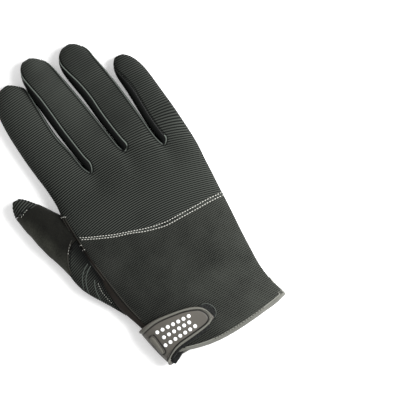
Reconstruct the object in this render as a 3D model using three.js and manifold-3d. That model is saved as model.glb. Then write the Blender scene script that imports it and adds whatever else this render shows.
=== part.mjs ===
// Mechanic glove for the right hand, lying palm down.
// Millimetres. +Z is up, through the back of the hand. +Y runs to the fingertips, +X to the little finger.

import * as THREE from 'three';
import { mergeVertices } from 'three/addons/utils/BufferGeometryUtils.js';
import Module from 'manifold-3d';

const wasm = await Module();
wasm.setup();

// Walls and gaps
const WALL = 1.6; // knit, suede and side strips
const SEAM = 0.3; // gap left along every sewn seam
const REST = 1.2; // height of the palm's underside over the patches that it rests on
const PATCH = 0.9; // thickness of a palm patch
const BINDING_WIDTH = 2.7; // visible width of the cuff tape
const BINDING_PROUD = 0.5; // how far the tape stands out from the wall, each side
const TIP_ROUND = 10; // length over which a finger's thickness rounds off
const CROTCH_TOP = 11.5; // height of the back panel's edge at the bottom of a finger slot
const CROTCH_BOTTOM = 5.2; // height of the palm's edge there
const LEAST_DEPTH = 0.15; // least depth of a finger's section below its centre
const SAME = 1e-4; // corners closer than this are one

// Outline of the hand seen from above. seam is the x of the suede strip's edge, high the height of the back,
// round the exponent of the section: 2 is an ellipse, more is boxier.
const HAND = [
  { y: -4, left: -44.5, right: 50.0, seam: -35.5, high: 16.5, round: 2.3 },
  { y: 4, left: -45.4, right: 49.0, seam: -36.5, high: 17.0, round: 2.3 },
  { y: 12, left: -47.2, right: 47.0, seam: -39.0, high: 17.5, round: 2.3 },
  { y: 20, left: -48.8, right: 46.0, seam: -42.5, high: 18.0, round: 2.3 },
  { y: 32, left: -50.3, right: 45.5, seam: -46.5, high: 18.2, round: 2.4 },
  { y: 42, left: -52.3, right: 46.2, seam: -49.2, high: 18.5, round: 2.4 },
  { y: 52, left: -56.0, right: 47.4, seam: -51.0, high: 19.0, round: 2.4 },
  { y: 66, left: -58.0, right: 49.0, seam: -53.0, high: 20.0, round: 2.5 },
  { y: 82, left: -58.6, right: 50.6, seam: -54.0, high: 21.0, round: 2.5 },
  { y: 98, left: -57.8, right: 52.3, seam: -54.4, high: 21.8, round: 2.6 },
  { y: 114, left: -57.2, right: 53.7, seam: -54.4, high: 22.2, round: 2.6 },
  { y: 130, left: -57.0, right: 55.0, seam: -54.8, high: 21.6, round: 2.6 },
  { y: 140, left: -55.4, right: 55.6, seam: -55.4, high: 20.2, round: 2.6 },
  { y: 152, left: -53.6, right: 55.8, seam: -53.6, high: 18.0, round: 2.6 },
];

// Double-stitched seam across the back, and the lower edge of the cuff on the back and on the palm side.
const BACK_SEAM = [
  { x: -58, y: 116.5 }, { x: -46, y: 110.5 }, { x: -30, y: 102.6 }, { x: -10, y: 94.4 },
  { x: 0, y: 91.2 }, { x: 10, y: 89.5 }, { x: 30, y: 88.0 }, { x: 54, y: 85.6 },
];
const CUFF_BACK = [
  { x: -48, y: 4.5 }, { x: -44.5, y: 2.2 }, { x: -36, y: 7.0 }, { x: -30, y: 4.5 }, { x: -20, y: 1.0 },
  { x: -10, y: -1.2 }, { x: 5, y: -2.4 }, { x: 25, y: -2.1 }, { x: 40, y: -1.0 }, { x: 50, y: 0.2 },
];
const CUFF_PALM = [
  { x: -48, y: 4.5 }, { x: -30, y: 4.2 }, { x: 0, y: 1.0 }, { x: 25, y: -2.0 }, { x: 40, y: -2.0 },
  { x: 50, y: 0.2 },
];

// Roots of the finger slots and of the outer sides, from the thumb side to the little finger.
const ROOTS = [
  { x: -54.2, y: 148 }, { x: -20.5, y: 150 }, { x: 8, y: 150 }, { x: 34.4, y: 138.5 }, { x: 55.8, y: 134 },
];

// Fingers: outlines by height, then how far each seam lies inside the outline, seen from above (back) or
// from below (front). Each finger is rolled, so its side strip shows on the thumb side from above.
const FINGERS = [
  { // index finger
    thick: 15.2, tip: 236.4, backLeft: 0, frontLeft: 0, backRight: 0.7, frontRight: 3.4,
    left: [[148, -54.2], [155, -54.2], [165, -54.8], [180, -56], [200, -56], [215, -55.4], [224, -53.6],
      [231, -49.6], [234.5, -45.8], [236.4, -42.4]],
    right: [[150, -20.5], [155, -22.6], [160, -23.5], [170, -24.5], [180, -26.5], [188, -27.6], [200, -27.4],
      [206, -27.0], [215, -27.4], [224, -27.4], [229, -28.6], [233, -32.2], [235.5, -35.6], [236.4, -37.4]],
  },
  { // middle finger
    thick: 15.6, tip: 244.2, backLeft: 4.9, frontLeft: 0.9, backRight: 0.7, frontRight: 3.8,
    left: [[150, -20.5], [155, -22.2], [160, -23.1], [170, -24.1], [180, -25.0], [188, -25.6], [200, -26.1],
      [206, -26.6], [215, -27.0], [226, -27.0], [233, -26.0], [240, -23.4], [243, -20.6], [244.2, -18.4]],
    right: [[150, 8], [155, 6.8], [162, 5.9], [175, 4.6], [182, 4.0], [190, 2.9], [200, 1.9], [210, 0.6],
      [220, -0.7], [230, -2.7], [237, -5.2], [241.5, -8.8], [244.2, -13.4]],
  },
  { // ring finger
    thick: 15.2, tip: 237.2, backLeft: 4.8, frontLeft: 0.9, backRight: 0.7, frontRight: 3.8,
    left: [[150, 8], [155, 7.2], [162, 6.3], [175, 5.0], [182, 4.5], [190, 4.5], [200, 4], [210, 2.6],
      [220, 1.6], [226, 2.1], [231, 3.8], [235, 7], [237.2, 10.8]],
    right: [[138.5, 34.4], [145, 33.0], [152, 32.3], [160, 31.9], [166, 31.8], [172, 31.5], [180, 31.0],
      [190, 30.4], [200, 29.8], [210, 28.3], [220, 26.6], [228, 25.3], [233, 22.6], [236, 19], [237.2, 15.8]],
  },
  { // little finger
    thick: 14.2, tip: 211.0, backLeft: 4.7, frontLeft: 0.9, backRight: 0, frontRight: 0,
    left: [[138.5, 34.4], [145, 33.4], [152, 32.7], [160, 32.3], [166, 32.4], [172, 32.7], [180, 33.1],
      [190, 33.1], [200, 32.9], [205, 34.1], [208.6, 36.2], [211, 39]],
    right: [[134, 55.8], [145, 55.8], [155, 55.6], [170, 55], [180, 54.5], [190, 54], [197, 52.8],
      [203, 50.9], [207, 48.4], [210, 45.2], [211, 43]],
  },
];

// Thumb, from its root inside the palm to its tip.
const THUMB = [
  { y: 50, left: -55.5, right: -38, high: 7.0 },
  { y: 58, left: -59.4, right: -33, high: 9.6 },
  { y: 66, left: -63.5, right: -31, high: 11.4 },
  { y: 75, left: -68.6, right: -31, high: 12.8 },
  { y: 84, left: -72.6, right: -32, high: 13.6 },
  { y: 92, left: -73.6, right: -34, high: 13.9 },
  { y: 100, left: -74.6, right: -37, high: 14.2 },
  { y: 110, left: -77.4, right: -42, high: 14.8 },
  { y: 120, left: -80.0, right: -47.5, high: 15.8 },
  { y: 130, left: -81.6, right: -53, high: 15.4 },
  { y: 138, left: -82.8, right: -56.6, high: 15.0 },
  { y: 145, left: -84.0, right: -60.6, high: 14.6 },
  { y: 152, left: -84.3, right: -65, high: 14.0 },
  { y: 158, left: -82.8, right: -69.4, high: 12.4 },
  { y: 161.6, left: -80.8, right: -72.6, high: 9.0 },
  { y: 163.6, left: -78.8, right: -75.6, high: 0 },
];
const THUMB_FLOOR = { root: 1.7, tip: 0.2, from: 85, to: 118 }; // height of its underside, root to tip
// Where the thumb's suede starts, going round from its hand side over the top (degrees) to the underside.
const THUMB_SEAM = [
  { deg: 0, y: 117 }, { deg: 60, y: 116 }, { deg: 90, y: 113.5 }, { deg: 110, y: 109.5 },
  { deg: 135, y: 103 },
  { deg: 160, y: 97.5 }, { deg: 190, y: 94 }, { deg: 230, y: 96 }, { deg: 300, y: 110 },
  { deg: 360, y: 117 },
];
const THUMB_TIP_SEAM = 152;
const THUMB_HALF = 190; // where the knit wedge meets the suede under the root, in degrees
const THUMB_PART = 1; // half the gap between those two, in degrees
const THUMB_ROUND = 2.3; // exponents of its section, over and under
const THUMB_UNDER = 2.6;
const THUMB_END = { from: 140, levelFrom: 150, level: 7.5, least: 0.2 }; // how its tip draws in to one height
const THUMB_CELLS = 16; // cells round it, along it, round the knit wedge and round the suede root
const THUMB_ROWS = 6;
const GUSSET_CELLS = 9;
const ROOT_CELLS = 8;
const HOLLOW = { rows: 16, start: 4, end: 8 }; // the thumb's hollow starts and ends so far from its two ends

// Moulded closure tab, seen from above: upper and lower edge by x, and how far each piece of the closure
// stands off the wrist.
const TAB_RIGHT = -2.6;
const TAB_UPPER = [
  { x: -55, y: 33.6 }, { x: -50, y: 35.2 }, { x: -45, y: 36.2 }, { x: -40, y: 36.6 }, { x: -35, y: 36.2 },
  { x: -30, y: 35.2 }, { x: -20, y: 32.8 }, { x: -12, y: 30.2 }, { x: -7, y: 26.9 }, { x: -4, y: 22.4 },
  { x: TAB_RIGHT, y: 16.8 },
];
const TAB_LOWER = [
  { x: -55, y: 2.4 }, { x: -50, y: 2.6 }, { x: -46, y: 4.8 }, { x: -42, y: 7.6 }, { x: -38, y: 9.6 },
  { x: -34, y: 10.7 },
  { x: -26, y: 11.2 }, { x: -15, y: 11.8 }, { x: -8, y: 12.8 }, { x: TAB_RIGHT, y: 14.8 },
];
const TAB = { thick: 1.4, rim: 0.5, rimWidth: 1.7, groove: 0.25, low: 1.4, high: 3.1 };
const TAB_ROOT = -54; // left of this the tab's two edges keep their height
const TAB_LEVEL = 24; // height at which the tab's x is the true one
const TAB_SLANT = { from: -42, over: 6 }; // where it starts to keep to the wrist's slanting edge
const TAB_RISE = { from: -52, over: 8 }; // where it rises off the wrist onto the tapes
const TAB_FIELD = { inset: 2.6, least: 2.9, shares: [0.34, 0.66] }; // its flat field, inside rim and groove
const TAB_END = { from: -5.2, share: 0.9 }; // the free end, where the rim turns the corner
const GRIP_BAR = {
  x: -44.4, y: 20, width: 3.4, length: 14.5, proud: 0.7, lean: 0.04, rows: 8, columns: 4,
  straight: 0.72, endWidth: 0.55, endCrown: 0.6, sideDrop: 0.5,
};
const HOOK_PAD = { x0: -43, x1: -8, below: 0.9, above: 2.6, off: 1.75, thick: 0.8, columns: 9, rows: 4 };
const LOOP_PATCH = {
  x0: -31, x1: 1.4, y0: 13, y1: 27.5, corner: 5, off: 0.45, thick: 0.8, columns: 14, rows: 4,
};
const WRAP_LIMIT = 0.9; // how far round the wrist's side the closure can reach, as a share of its height

// White domes on the tab, in three plain staggered rows.
const DOT = { radius: 1.4, high: 0.5, gap: 0.12, sides: 9, shoulder: 0.8 };
const DOT_ROWS = [
  { x: -39.2, y: 28.0, count: 7, pitch: 3.85, fall: -0.4 },
  { x: -37.3, y: 22.4, count: 6, pitch: 3.85, fall: -0.16 },
  { x: -39.2, y: 17.0, count: 7, pitch: 3.85, fall: 0.0 },
];

const FINISH = {
  ribKnit: { color: 0x3c3e3a, roughness: 0.9 },
  plainKnit: { color: 0x3a3c39, roughness: 0.9 },
  suede: { color: 0x37312d, roughness: 0.95 },
  strip: { color: 0x191e1c, roughness: 0.6 },
  binding: { color: 0x8b8d84, roughness: 0.7 },
  tab: { color: 0x76706a, roughness: 0.55 },
  hook: { color: 0x0c0d0d, roughness: 0.9 },
  loop: { color: 0x161917, roughness: 1 },
  dot: { color: 0xf2f2ee, roughness: 0.4 },
};

const rad = THREE.MathUtils.degToRad;
const mix = THREE.MathUtils.lerp;
const smooth = (t) => THREE.MathUtils.smoothstep(t, 0, 1);

// A smooth curve through a table: value of column out where column key is k.
function track(table, key, out) {
  const rows = table.map((row) => [row[key], row[out]]);
  const last = rows.length - 1;
  const slopes = rows.map((row, i) => {
    const before = rows[Math.max(i - 1, 0)];
    const after = rows[Math.min(i + 1, last)];
    return (after[1] - before[1]) / (after[0] - before[0]);
  });
  return (k) => {
    let i = 0;
    while (i < last - 1 && k > rows[i + 1][0]) i += 1;
    const span = rows[i + 1][0] - rows[i][0];
    const t = THREE.MathUtils.clamp((k - rows[i][0]) / span, 0, 1);
    const t2 = t * t;
    const t3 = t2 * t;
    return (2 * t3 - 3 * t2 + 1) * rows[i][1] + (t3 - 2 * t2 + t) * span * slopes[i]
      + (3 * t2 - 2 * t3) * rows[i + 1][1] + (t3 - t2) * span * slopes[i + 1];
  };
}

const hand = Object.fromEntries(
  ['left', 'right', 'seam', 'high', 'round'].map((column) => [column, track(HAND, 'y', column)]),
);
const thumb = Object.fromEntries(
  ['left', 'right', 'high'].map((column) => [column, track(THUMB, 'y', column)]),
);
const backSeamY = track(BACK_SEAM, 'x', 'y');
const cuffBackY = track(CUFF_BACK, 'x', 'y');
const cuffPalmY = track(CUFF_PALM, 'x', 'y');
const tabUpperY = track(TAB_UPPER, 'x', 'y');
const tabLowerY = track(TAB_LOWER, 'x', 'y');
const thumbSeamY = track(THUMB_SEAM, 'deg', 'y');
for (const finger of FINGERS) {
  finger.leftX = track(finger.left.map(([y, x]) => ({ y, x })), 'y', 'x');
  finger.rightX = track(finger.right.map(([y, x]) => ({ y, x })), 'y', 'x');
}

// A section is a rounded oval: x and z of the point at angle phi, moved outwards by off. Its underside is
// flattened at the height floor.
function onSection(section, phi, off) {
  const c = Math.cos(phi);
  const s = Math.sin(phi);
  const power = s < 0 ? section.under : section.round;
  const k = (Math.abs(c) ** power + Math.abs(s) ** power) ** (-1 / power);
  const x = section.middle + (section.wide + off) * k * c;
  const z = section.centre + (section.tall + off) * k * s;
  return { x, z: Math.max(z, section.floor - off) };
}

// Angle up to the point of a section at a share of its half width, with the exponent of that half.
function shareAngle(share, power) {
  return Math.atan2((1 - Math.abs(share) ** power) ** (1 / power), share);
}

// Angle at which a section is inset by a given width from its outline.
function insetAngle(section, inset, power) {
  return shareAngle(1 - Math.min(inset / section.wide, 0.5), power);
}

const FLAT = 1.3; // how much of an oval's underside is pressed flat
const FINGERS_DOWN = { from: 150, over: 25 }; // past their roots the fingers come down to the surface
const HAND_UNDER = 3.4; // exponent of the palm's underside, which lies flatter than the back
const FINGER_ROUND = 2.4;
const FINGER_UNDER = 2.7;
function makeSection(left, right, high, floor, round, under) {
  const tall = (high - floor + FLAT) / 2;
  const middle = (left + right) / 2;
  return { middle, wide: right - middle, centre: high - tall, tall, floor, round, under };
}

function handSection(y) {
  return makeSection(hand.left(y), hand.right(y), hand.high(y), REST, hand.round(y), HAND_UNDER);
}

// Columns of the hand's grid, one group of cells per finger, parted at fixed shares of the hand's width.
const COLUMN_SHARES = [-0.385, 0.135, 0.615];
const BACK_CELLS = [5, 4, 4, 5];
const PALM_CELLS = [7, 4, 4, 5];
const CUFF_ROWS = 11; // rows of cells from the cuff to the seam across the back
const KNUCKLE_ROWS = 8; // from that seam to the finger slots

function seamAngle(y) {
  const section = handSection(y);
  const inset = Math.max(hand.seam(y) - hand.left(y), 0);
  return Math.PI - insetAngle(section, inset, section.round);
}

// Angles of the hand's grid lines at height y, over the back or round the palm side.
function handAngle(y, column, cell, side) {
  const section = handSection(y);
  const power = side === 'back' ? section.round : section.under;
  const marks = COLUMN_SHARES.map((share) => shareAngle(share, power));
  if (side === 'back') {
    const edges = [seamAngle(y), ...marks, 0];
    return mix(edges[column], edges[column + 1], cell / BACK_CELLS[column]);
  }
  const edges = [seamAngle(y), ...marks.map((mark) => 2 * Math.PI - mark), 2 * Math.PI];
  return mix(edges[column], edges[column + 1], cell / PALM_CELLS[column]);
}

// Stations along a finger, from its root to its tip, and the first and last that its side strips reach.
const STATIONS = [0, 0.06, 0.14, 0.26, 0.4, 0.54, 0.68, 0.8, 0.885, 0.94, 0.975, 0.993, 1];
const STRIP_LAST = 9;
const STRIP_CLOSING = { stations: 3, share: 0.86, meet: 0.35 }; // how a strip narrows before its end
const STRIP_CELLS = 3;
const STRIP_DRIFT = 0.7 * SEAM; // gap between a strip and the panels at the bottom of a slot

function fingerSection(finger, index, station, inner) {
  const left = ROOTS[index];
  const right = ROOTS[index + 1];
  const tip = finger.tip - inner;
  const yLeft = mix(left.y, tip, STATIONS[station]);
  const yRight = mix(right.y, tip, STATIONS[station]);
  const yMiddle = (yLeft + yRight) / 2;
  const xLeft = finger.leftX(yLeft + inner * STATIONS[station]);
  const xRight = finger.rightX(yRight + inner * STATIONS[station]);
  const ahead = Math.max(yMiddle + inner * STATIONS[station] - (finger.tip - TIP_ROUND), 0) / TIP_ROUND;
  const floor = REST * (1 - smooth((yMiddle - FINGERS_DOWN.from) / FINGERS_DOWN.over));
  const full = makeSection(xLeft, xRight, floor + finger.thick, floor, FINGER_ROUND, FINGER_UNDER);
  const rounding = Math.sqrt(Math.max(1 - ahead * ahead, 0));
  return { ...full, tall: full.tall * rounding, rounding, yLeft, yRight, left: xLeft, right: xRight };
}

// Seam angles of a finger at a station: where the back ends and the front begins, on both sides.
function fingerSeams(finger, section, station) {
  const ending = (station - STRIP_LAST) / STRIP_CLOSING.stations + 1;
  const closing = 1 - smooth(ending) * STRIP_CLOSING.share;
  const shut = station > STRIP_LAST ? 0 : closing;
  const seam = (back, front) => {
    const up = back > 0 ? insetAngle(section, back, section.round) : 0;
    const down = front > 0 ? insetAngle(section, front, section.under) : 0;
    const meet = STRIP_CLOSING.meet * (back > front ? up : -down);
    return back + front > 0 ? [mix(meet, up, shut), mix(meet, -down, shut)] : [0, 0];
  };
  const [backRight, frontRight] = seam(finger.backRight, finger.frontRight);
  const [backLeft, frontLeft] = seam(finger.backLeft, finger.frontLeft);
  return { backRight, frontRight, backLeft: Math.PI - backLeft, frontLeft: Math.PI - frontLeft };
}

// Outer and inner point of a finger's wall at angle phi.
function fingerPoint(finger, index, station, phi) {
  const make = (inner) => {
    const section = fingerSection(finger, index, station, inner);
    const off = -inner * section.rounding;
    const floor = Math.min(section.floor, section.centre - LEAST_DEPTH);
    const at = onSection({ ...section, floor }, phi, off);
    const across = THREE.MathUtils.clamp((at.x - section.left) / (section.right - section.left), 0, 1);
    const side = Math.sin(phi) >= 0 ? 1 : -1;
    const z = station === STATIONS.length - 1 ? section.centre + side * SEAM / 2 : at.z;
    return new THREE.Vector3(at.x, mix(section.yLeft, section.yRight, across), z);
  };
  return { outer: make(0), inner: make(WALL) };
}

// Half a seam gap as an angle, so that two panels end the same distance from their shared line. The section
// is measured over a small turn, and never taken as shorter than a small length.
const TURN = 0.02;
const LEAST_ARC = 1e-3;
function gapAngle(section, phi) {
  const a = onSection(section, phi - TURN / 2, 0);
  const b = onSection(section, phi + TURN / 2, 0);
  return ((SEAM / 2) * TURN) / Math.max(Math.hypot(a.x - b.x, a.z - b.z), LEAST_ARC);
}

// The lowest point of a finger slot, on the back's edge (side 1) or the palm's edge (side -1).
function crotchPoint(root, side, drift) {
  const z = side > 0 ? CROTCH_TOP : CROTCH_BOTTOM;
  const outer = new THREE.Vector3(root.x, root.y + drift, z - side * drift);
  const inner = new THREE.Vector3(root.x, root.y - WALL + drift, z - side * (WALL + drift));
  return { outer, inner };
}

// One cell corner of a finger's back or front. At the root the two ends run into the slots' lowest points.
function fingerCorner(index, station, column, side) {
  const finger = FINGERS[index];
  const section = fingerSection(finger, index, station, 0);
  const seams = fingerSeams(finger, section, station);
  const cells = (side > 0 ? BACK_CELLS : PALM_CELLS)[index];
  const t = column / cells;
  const from = side > 0 ? seams.backLeft : seams.frontLeft;
  const to = side > 0 ? seams.backRight : seams.frontRight + 2 * Math.PI;
  const start = from - side * gapAngle(section, from);
  const end = to + side * gapAngle(section, to);
  const point = fingerPoint(finger, index, station, mix(start, end, t));
  if (station > 0) return point;
  for (const [root, slot, share] of [[ROOTS[index], index > 0, 1 - t], [ROOTS[index + 1], index < 3, t]]) {
    if (!slot) continue;
    const base = fingerPoint(finger, index, 0, share === 1 - t ? start : end);
    const goal = crotchPoint(root, side, 0);
    const pull = share ** 2;
    point.outer.addScaledVector(goal.outer.clone().sub(base.outer), pull);
    point.inner.addScaledVector(goal.inner.clone().sub(base.inner), pull);
  }
  return point;
}

// Height of a grid row of the hand at share across: row 0 is the cuff, CUFF_ROWS the seam across the back.
const CUFF_LEVEL = 2; // where the hand's width is taken for the cuff, and for the seam
const SEAM_LEVEL = 100;
function rowY(row, share, side) {
  const across = (y) => mix(hand.left(y), hand.right(y), (share + 1) / 2);
  const cuffX = across(CUFF_LEVEL);
  const x = across(SEAM_LEVEL);
  const cuff = (side > 0 ? cuffBackY(cuffX) : cuffPalmY(cuffX)) + BINDING_WIDTH + SEAM;
  if (row <= CUFF_ROWS) return mix(cuff, backSeamY(x), row / CUFF_ROWS);
  const marks = [-1, ...COLUMN_SHARES, 1];
  let i = 0;
  while (i < 3 && share > marks[i + 1]) i += 1;
  const t = (share - marks[i]) / (marks[i + 1] - marks[i]);
  return mix(backSeamY(x), mix(ROOTS[i].y, ROOTS[i + 1].y, t), (row - CUFF_ROWS) / KNUCKLE_ROWS);
}

const TOP_ROW = CUFF_ROWS + KNUCKLE_ROWS;
const VALLEY_ROWS = 4; // rows of the hand that take on the fingers' arched form
const PASSES = 4; // a corner's height and its place across depend on each other, and settle so fast

// One cell corner of the hand's back (side 1) or palm (side -1). Close to the fingers it takes their arched
// form, so that a valley runs down from each slot. lift moves the row along the hand, off moves it outwards.
function handCorner(row, index, column, side, lift = 0, off = 0, trim = true) {
  const cells = (side > 0 ? BACK_CELLS : PALM_CELLS)[index];
  const name = side > 0 ? 'back' : 'palm';
  let y = rowY(row, 0, side);
  let phi = 0;
  let section = null;
  for (let pass = 0; pass < PASSES; pass += 1) {
    section = handSection(y);
    phi = handAngle(y, index, column, name);
    const share = (onSection(section, phi, 0).x - section.middle) / section.wide;
    y = rowY(row, share, side) + lift;
  }
  const edge = (index === 0 && column === 0) || (index === 3 && column === cells);
  if (edge && trim) phi += (index === 0 ? -side : side) * gapAngle(section, phi);
  const at = onSection(section, phi, off);
  const within = onSection(section, phi, -WALL);
  const point = { outer: new THREE.Vector3(at.x, y, at.z), inner: new THREE.Vector3(within.x, y, within.z) };
  const blend = smooth((TOP_ROW - row) / VALLEY_ROWS);
  if (blend < 1) {
    const root = fingerCorner(index, 0, column, side);
    for (const wall of ['outer', 'inner']) {
      point[wall].x = mix(root[wall].x, point[wall].x, blend);
      point[wall].z = mix(root[wall].z, point[wall].z, blend);
      if (row === TOP_ROW) point[wall].y = root[wall].y;
    }
  }
  return point;
}

// A grid of cell corners: make(row, column) for each, as rows of { outer, inner }.
function grid(rows, columns, make) {
  const line = (r) => Array.from({ length: columns + 1 }, (_, c) => make(r, c));
  return Array.from({ length: rows + 1 }, (_, r) => line(r));
}

function solidFrom(positions, triangles) {
  let volume = 0;
  const corner = (i) => new THREE.Vector3(...positions[i]);
  for (const [a, b, c] of triangles) volume += corner(a).dot(corner(b).cross(corner(c)));
  const facing = volume < 0 ? triangles.map(([a, b, c]) => [a, c, b]) : triangles;
  const geometry = new THREE.BufferGeometry();
  geometry.setAttribute('position', new THREE.Float32BufferAttribute(positions.flat(), 3));
  geometry.setIndex(facing.flat());
  return geometry;
}

// Thickens grids of cells that share their corners into one closed wall.
function panel(grids) {
  const positions = [];
  const known = new Map();
  const vertex = (point) => {
    const key = point.outer.toArray().map((v) => Math.round(v / SAME)).join();
    if (!known.has(key)) {
      known.set(key, positions.length);
      positions.push(point.outer.toArray(), point.inner.toArray());
    }
    return known.get(key);
  };
  const sheet = [];
  for (const cells of grids) {
    for (let r = 0; r + 1 < cells.length; r += 1) {
      for (let c = 0; c + 1 < cells[r].length; c += 1) {
        const quad = [cells[r][c], cells[r][c + 1], cells[r + 1][c + 1], cells[r + 1][c]].map(vertex);
        sheet.push([quad[0], quad[1], quad[2]], [quad[0], quad[2], quad[3]]);
      }
    }
  }
  const triangles = [];
  const open = new Map();
  for (const triangle of sheet.filter(([a, b, c]) => a !== b && b !== c && c !== a)) {
    const [a, b, c] = triangle;
    triangles.push([a, b, c], [a + 1, c + 1, b + 1]);
    for (const [from, to] of [[a, b], [b, c], [c, a]]) {
      if (open.has(`${to} ${from}`)) open.delete(`${to} ${from}`);
      else open.set(`${from} ${to}`, [from, to]);
    }
  }
  for (const [from, to] of open.values()) triangles.push([to, from, from + 1], [to, from + 1, to + 1]);
  return solidFrom(positions, triangles);
}

function fingerGrids(side) {
  const cells = side > 0 ? BACK_CELLS : PALM_CELLS;
  return FINGERS.map((_, i) => grid(STATIONS.length - 1, cells[i], (s, c) => fingerCorner(i, s, c, side)));
}

function handGrids(first, last, side, bottomLift, topLift) {
  const cells = side > 0 ? BACK_CELLS : PALM_CELLS;
  const lift = (row) => (row === first ? bottomLift : 0) + (row === last ? topLift : 0);
  return FINGERS.map((_, i) => grid(last - first, cells[i], (r, c) => (
    handCorner(first + r, i, c, side, lift(first + r)))));
}

const knuckleBack = panel([...handGrids(CUFF_ROWS, TOP_ROW, 1, SEAM / 2, 0), ...fingerGrids(1)]);
const wristBack = panel(handGrids(0, CUFF_ROWS, 1, 0, -SEAM / 2));
const palmSheet = panel([...handGrids(0, TOP_ROW, -1, 0, 0), ...fingerGrids(-1)]);

// Side strip between two fingers: down one finger, round the bottom of the slot and up the next.
function sideStrip(index) {
  const edge = (i, station, share, rightSide) => {
    const finger = FINGERS[i];
    const section = fingerSection(finger, i, station, 0);
    const seams = fingerSeams(finger, section, station);
    const back = rightSide ? seams.backRight : seams.backLeft;
    const front = rightSide ? seams.frontRight : seams.frontLeft;
    const way = Math.sign(front - back);
    const start = back + way * gapAngle(section, back);
    const end = front - way * gapAngle(section, front);
    return fingerPoint(finger, i, station, mix(start, end, share));
  };
  const bottom = (share) => {
    const upper = crotchPoint(ROOTS[index + 1], 1, STRIP_DRIFT);
    const lower = crotchPoint(ROOTS[index + 1], -1, STRIP_DRIFT);
    return { outer: upper.outer.lerp(lower.outer, share), inner: upper.inner.lerp(lower.inner, share) };
  };
  return panel([grid(2 * STRIP_LAST, STRIP_CELLS, (r, c) => {
    const share = c / STRIP_CELLS;
    if (r === STRIP_LAST) return bottom(share);
    if (r < STRIP_LAST) return edge(index, STRIP_LAST - r, share, true);
    return edge(index + 1, r - STRIP_LAST, share, false);
  })]);
}

// Thumb: rings of cells whose ends follow the seams between its pieces.
const ROOT_Y = THUMB[0].y;
const TIP_Y = THUMB[THUMB.length - 1].y;
function thumbPoint(y, phi) {
  const make = (inner) => {
    const at = Math.min(y, TIP_Y - inner * smooth((y - THUMB_END.from) / (TIP_Y - THUMB_END.from)));
    const high = Math.max(thumb.high(y), THUMB_END.least);
    const rise = smooth((y - THUMB_FLOOR.from) / (THUMB_FLOOR.to - THUMB_FLOOR.from));
    const floor = mix(THUMB_FLOOR.root, THUMB_FLOOR.tip, rise);
    const full = makeSection(thumb.left(y), thumb.right(y), floor + high, floor, THUMB_ROUND, THUMB_UNDER);
    const shut = y >= TIP_Y;
    const level = smooth((y - THUMB_END.levelFrom) / (TIP_Y - THUMB_END.levelFrom));
    const centre = shut ? THUMB_END.level : mix(full.centre, THUMB_END.level, level);
    if (shut) return new THREE.Vector3(full.middle + full.wide * Math.cos(phi), at, centre);
    const spot = onSection({ ...full, centre }, phi, -inner);
    return new THREE.Vector3(spot.x, at, spot.z);
  };
  return { outer: make(0), inner: make(WALL) };
}

function thumbRing(fromDeg, toDeg, cells, lowY, highY) {
  return panel([grid(THUMB_ROWS, cells, (r, c) => {
    const closed = toDeg - fromDeg === 360 && c === cells;
    const deg = closed ? fromDeg : mix(fromDeg, toDeg, c / cells);
    return thumbPoint(mix(lowY(deg), highY(deg), r / THUMB_ROWS), rad(deg));
  })]);
}

// Closed skin of the hand moved outwards by off: what the thumb's pieces are trimmed by.
function handSolid(off) {
  const ring = (row) => {
    const line = [];
    for (let i = 3; i >= 0; i -= 1) {
      for (let c = BACK_CELLS[i]; c > 0; c -= 1) line.push(handCorner(row, i, c, 1, 0, off, false).outer);
    }
    for (let i = 0; i < 4; i += 1) {
      for (let c = 0; c < PALM_CELLS[i]; c += 1) line.push(handCorner(row, i, c, -1, 0, off, false).outer);
    }
    return line;
  };
  const rings = Array.from({ length: TOP_ROW - 1 }, (_, r) => ring(r + 1));
  const size = rings[0].length;
  const positions = rings.flat().map((p) => p.toArray());
  const triangles = [];
  for (let r = 0; r + 1 < rings.length; r += 1) {
    for (let c = 0; c < size; c += 1) {
      const [a, b] = [r * size + c, r * size + ((c + 1) % size)];
      triangles.push([a, b, b + size], [a, b + size, a + size]);
    }
  }
  for (const [start, flip] of [[0, true], [(rings.length - 1) * size, false]]) {
    const centre = new THREE.Vector3();
    for (let c = 0; c < size; c += 1) {
      centre.addScaledVector(new THREE.Vector3(...positions[start + c]), 1 / size);
    }
    positions.push(centre.toArray());
    for (let c = 0; c < size; c += 1) {
      const [a, b] = [start + c, start + ((c + 1) % size)];
      triangles.push(flip ? [a, positions.length - 1, b] : [a, b, positions.length - 1]);
    }
  }
  return solidFrom(positions, triangles);
}

// The thumb's hollow as a closed solid.
function thumbHollow() {
  const { rows } = HOLLOW;
  const positions = [];
  const triangles = [];
  for (let r = 0; r <= rows; r += 1) {
    const y = mix(ROOT_Y + HOLLOW.start, TIP_Y - HOLLOW.end, r / rows);
    for (let c = 0; c < THUMB_CELLS; c += 1) {
      positions.push(thumbPoint(y, rad((360 * c) / THUMB_CELLS)).inner.toArray());
    }
  }
  for (let r = 0; r < rows; r += 1) {
    for (let c = 0; c < THUMB_CELLS; c += 1) {
      const [a, b] = [r * THUMB_CELLS + c, r * THUMB_CELLS + ((c + 1) % THUMB_CELLS)];
      triangles.push([a, b, b + THUMB_CELLS], [a, b + THUMB_CELLS, a + THUMB_CELLS]);
    }
  }
  const top = rows * THUMB_CELLS;
  for (let c = 1; c + 1 < THUMB_CELLS; c += 1) triangles.push([0, c + 1, c], [top, top + c, top + c + 1]);
  return solidFrom(positions, triangles);
}

function toManifold(geometry) {
  const plain = geometry.clone();
  for (const name of Object.keys(plain.attributes)) {
    if (name !== 'position') plain.deleteAttribute(name);
  }
  const merged = mergeVertices(plain, SAME);
  return new wasm.Manifold(new wasm.Mesh({
    numProp: 3,
    vertProperties: new Float32Array(merged.attributes.position.array),
    triVerts: new Uint32Array(merged.index.array),
  }));
}

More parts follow.
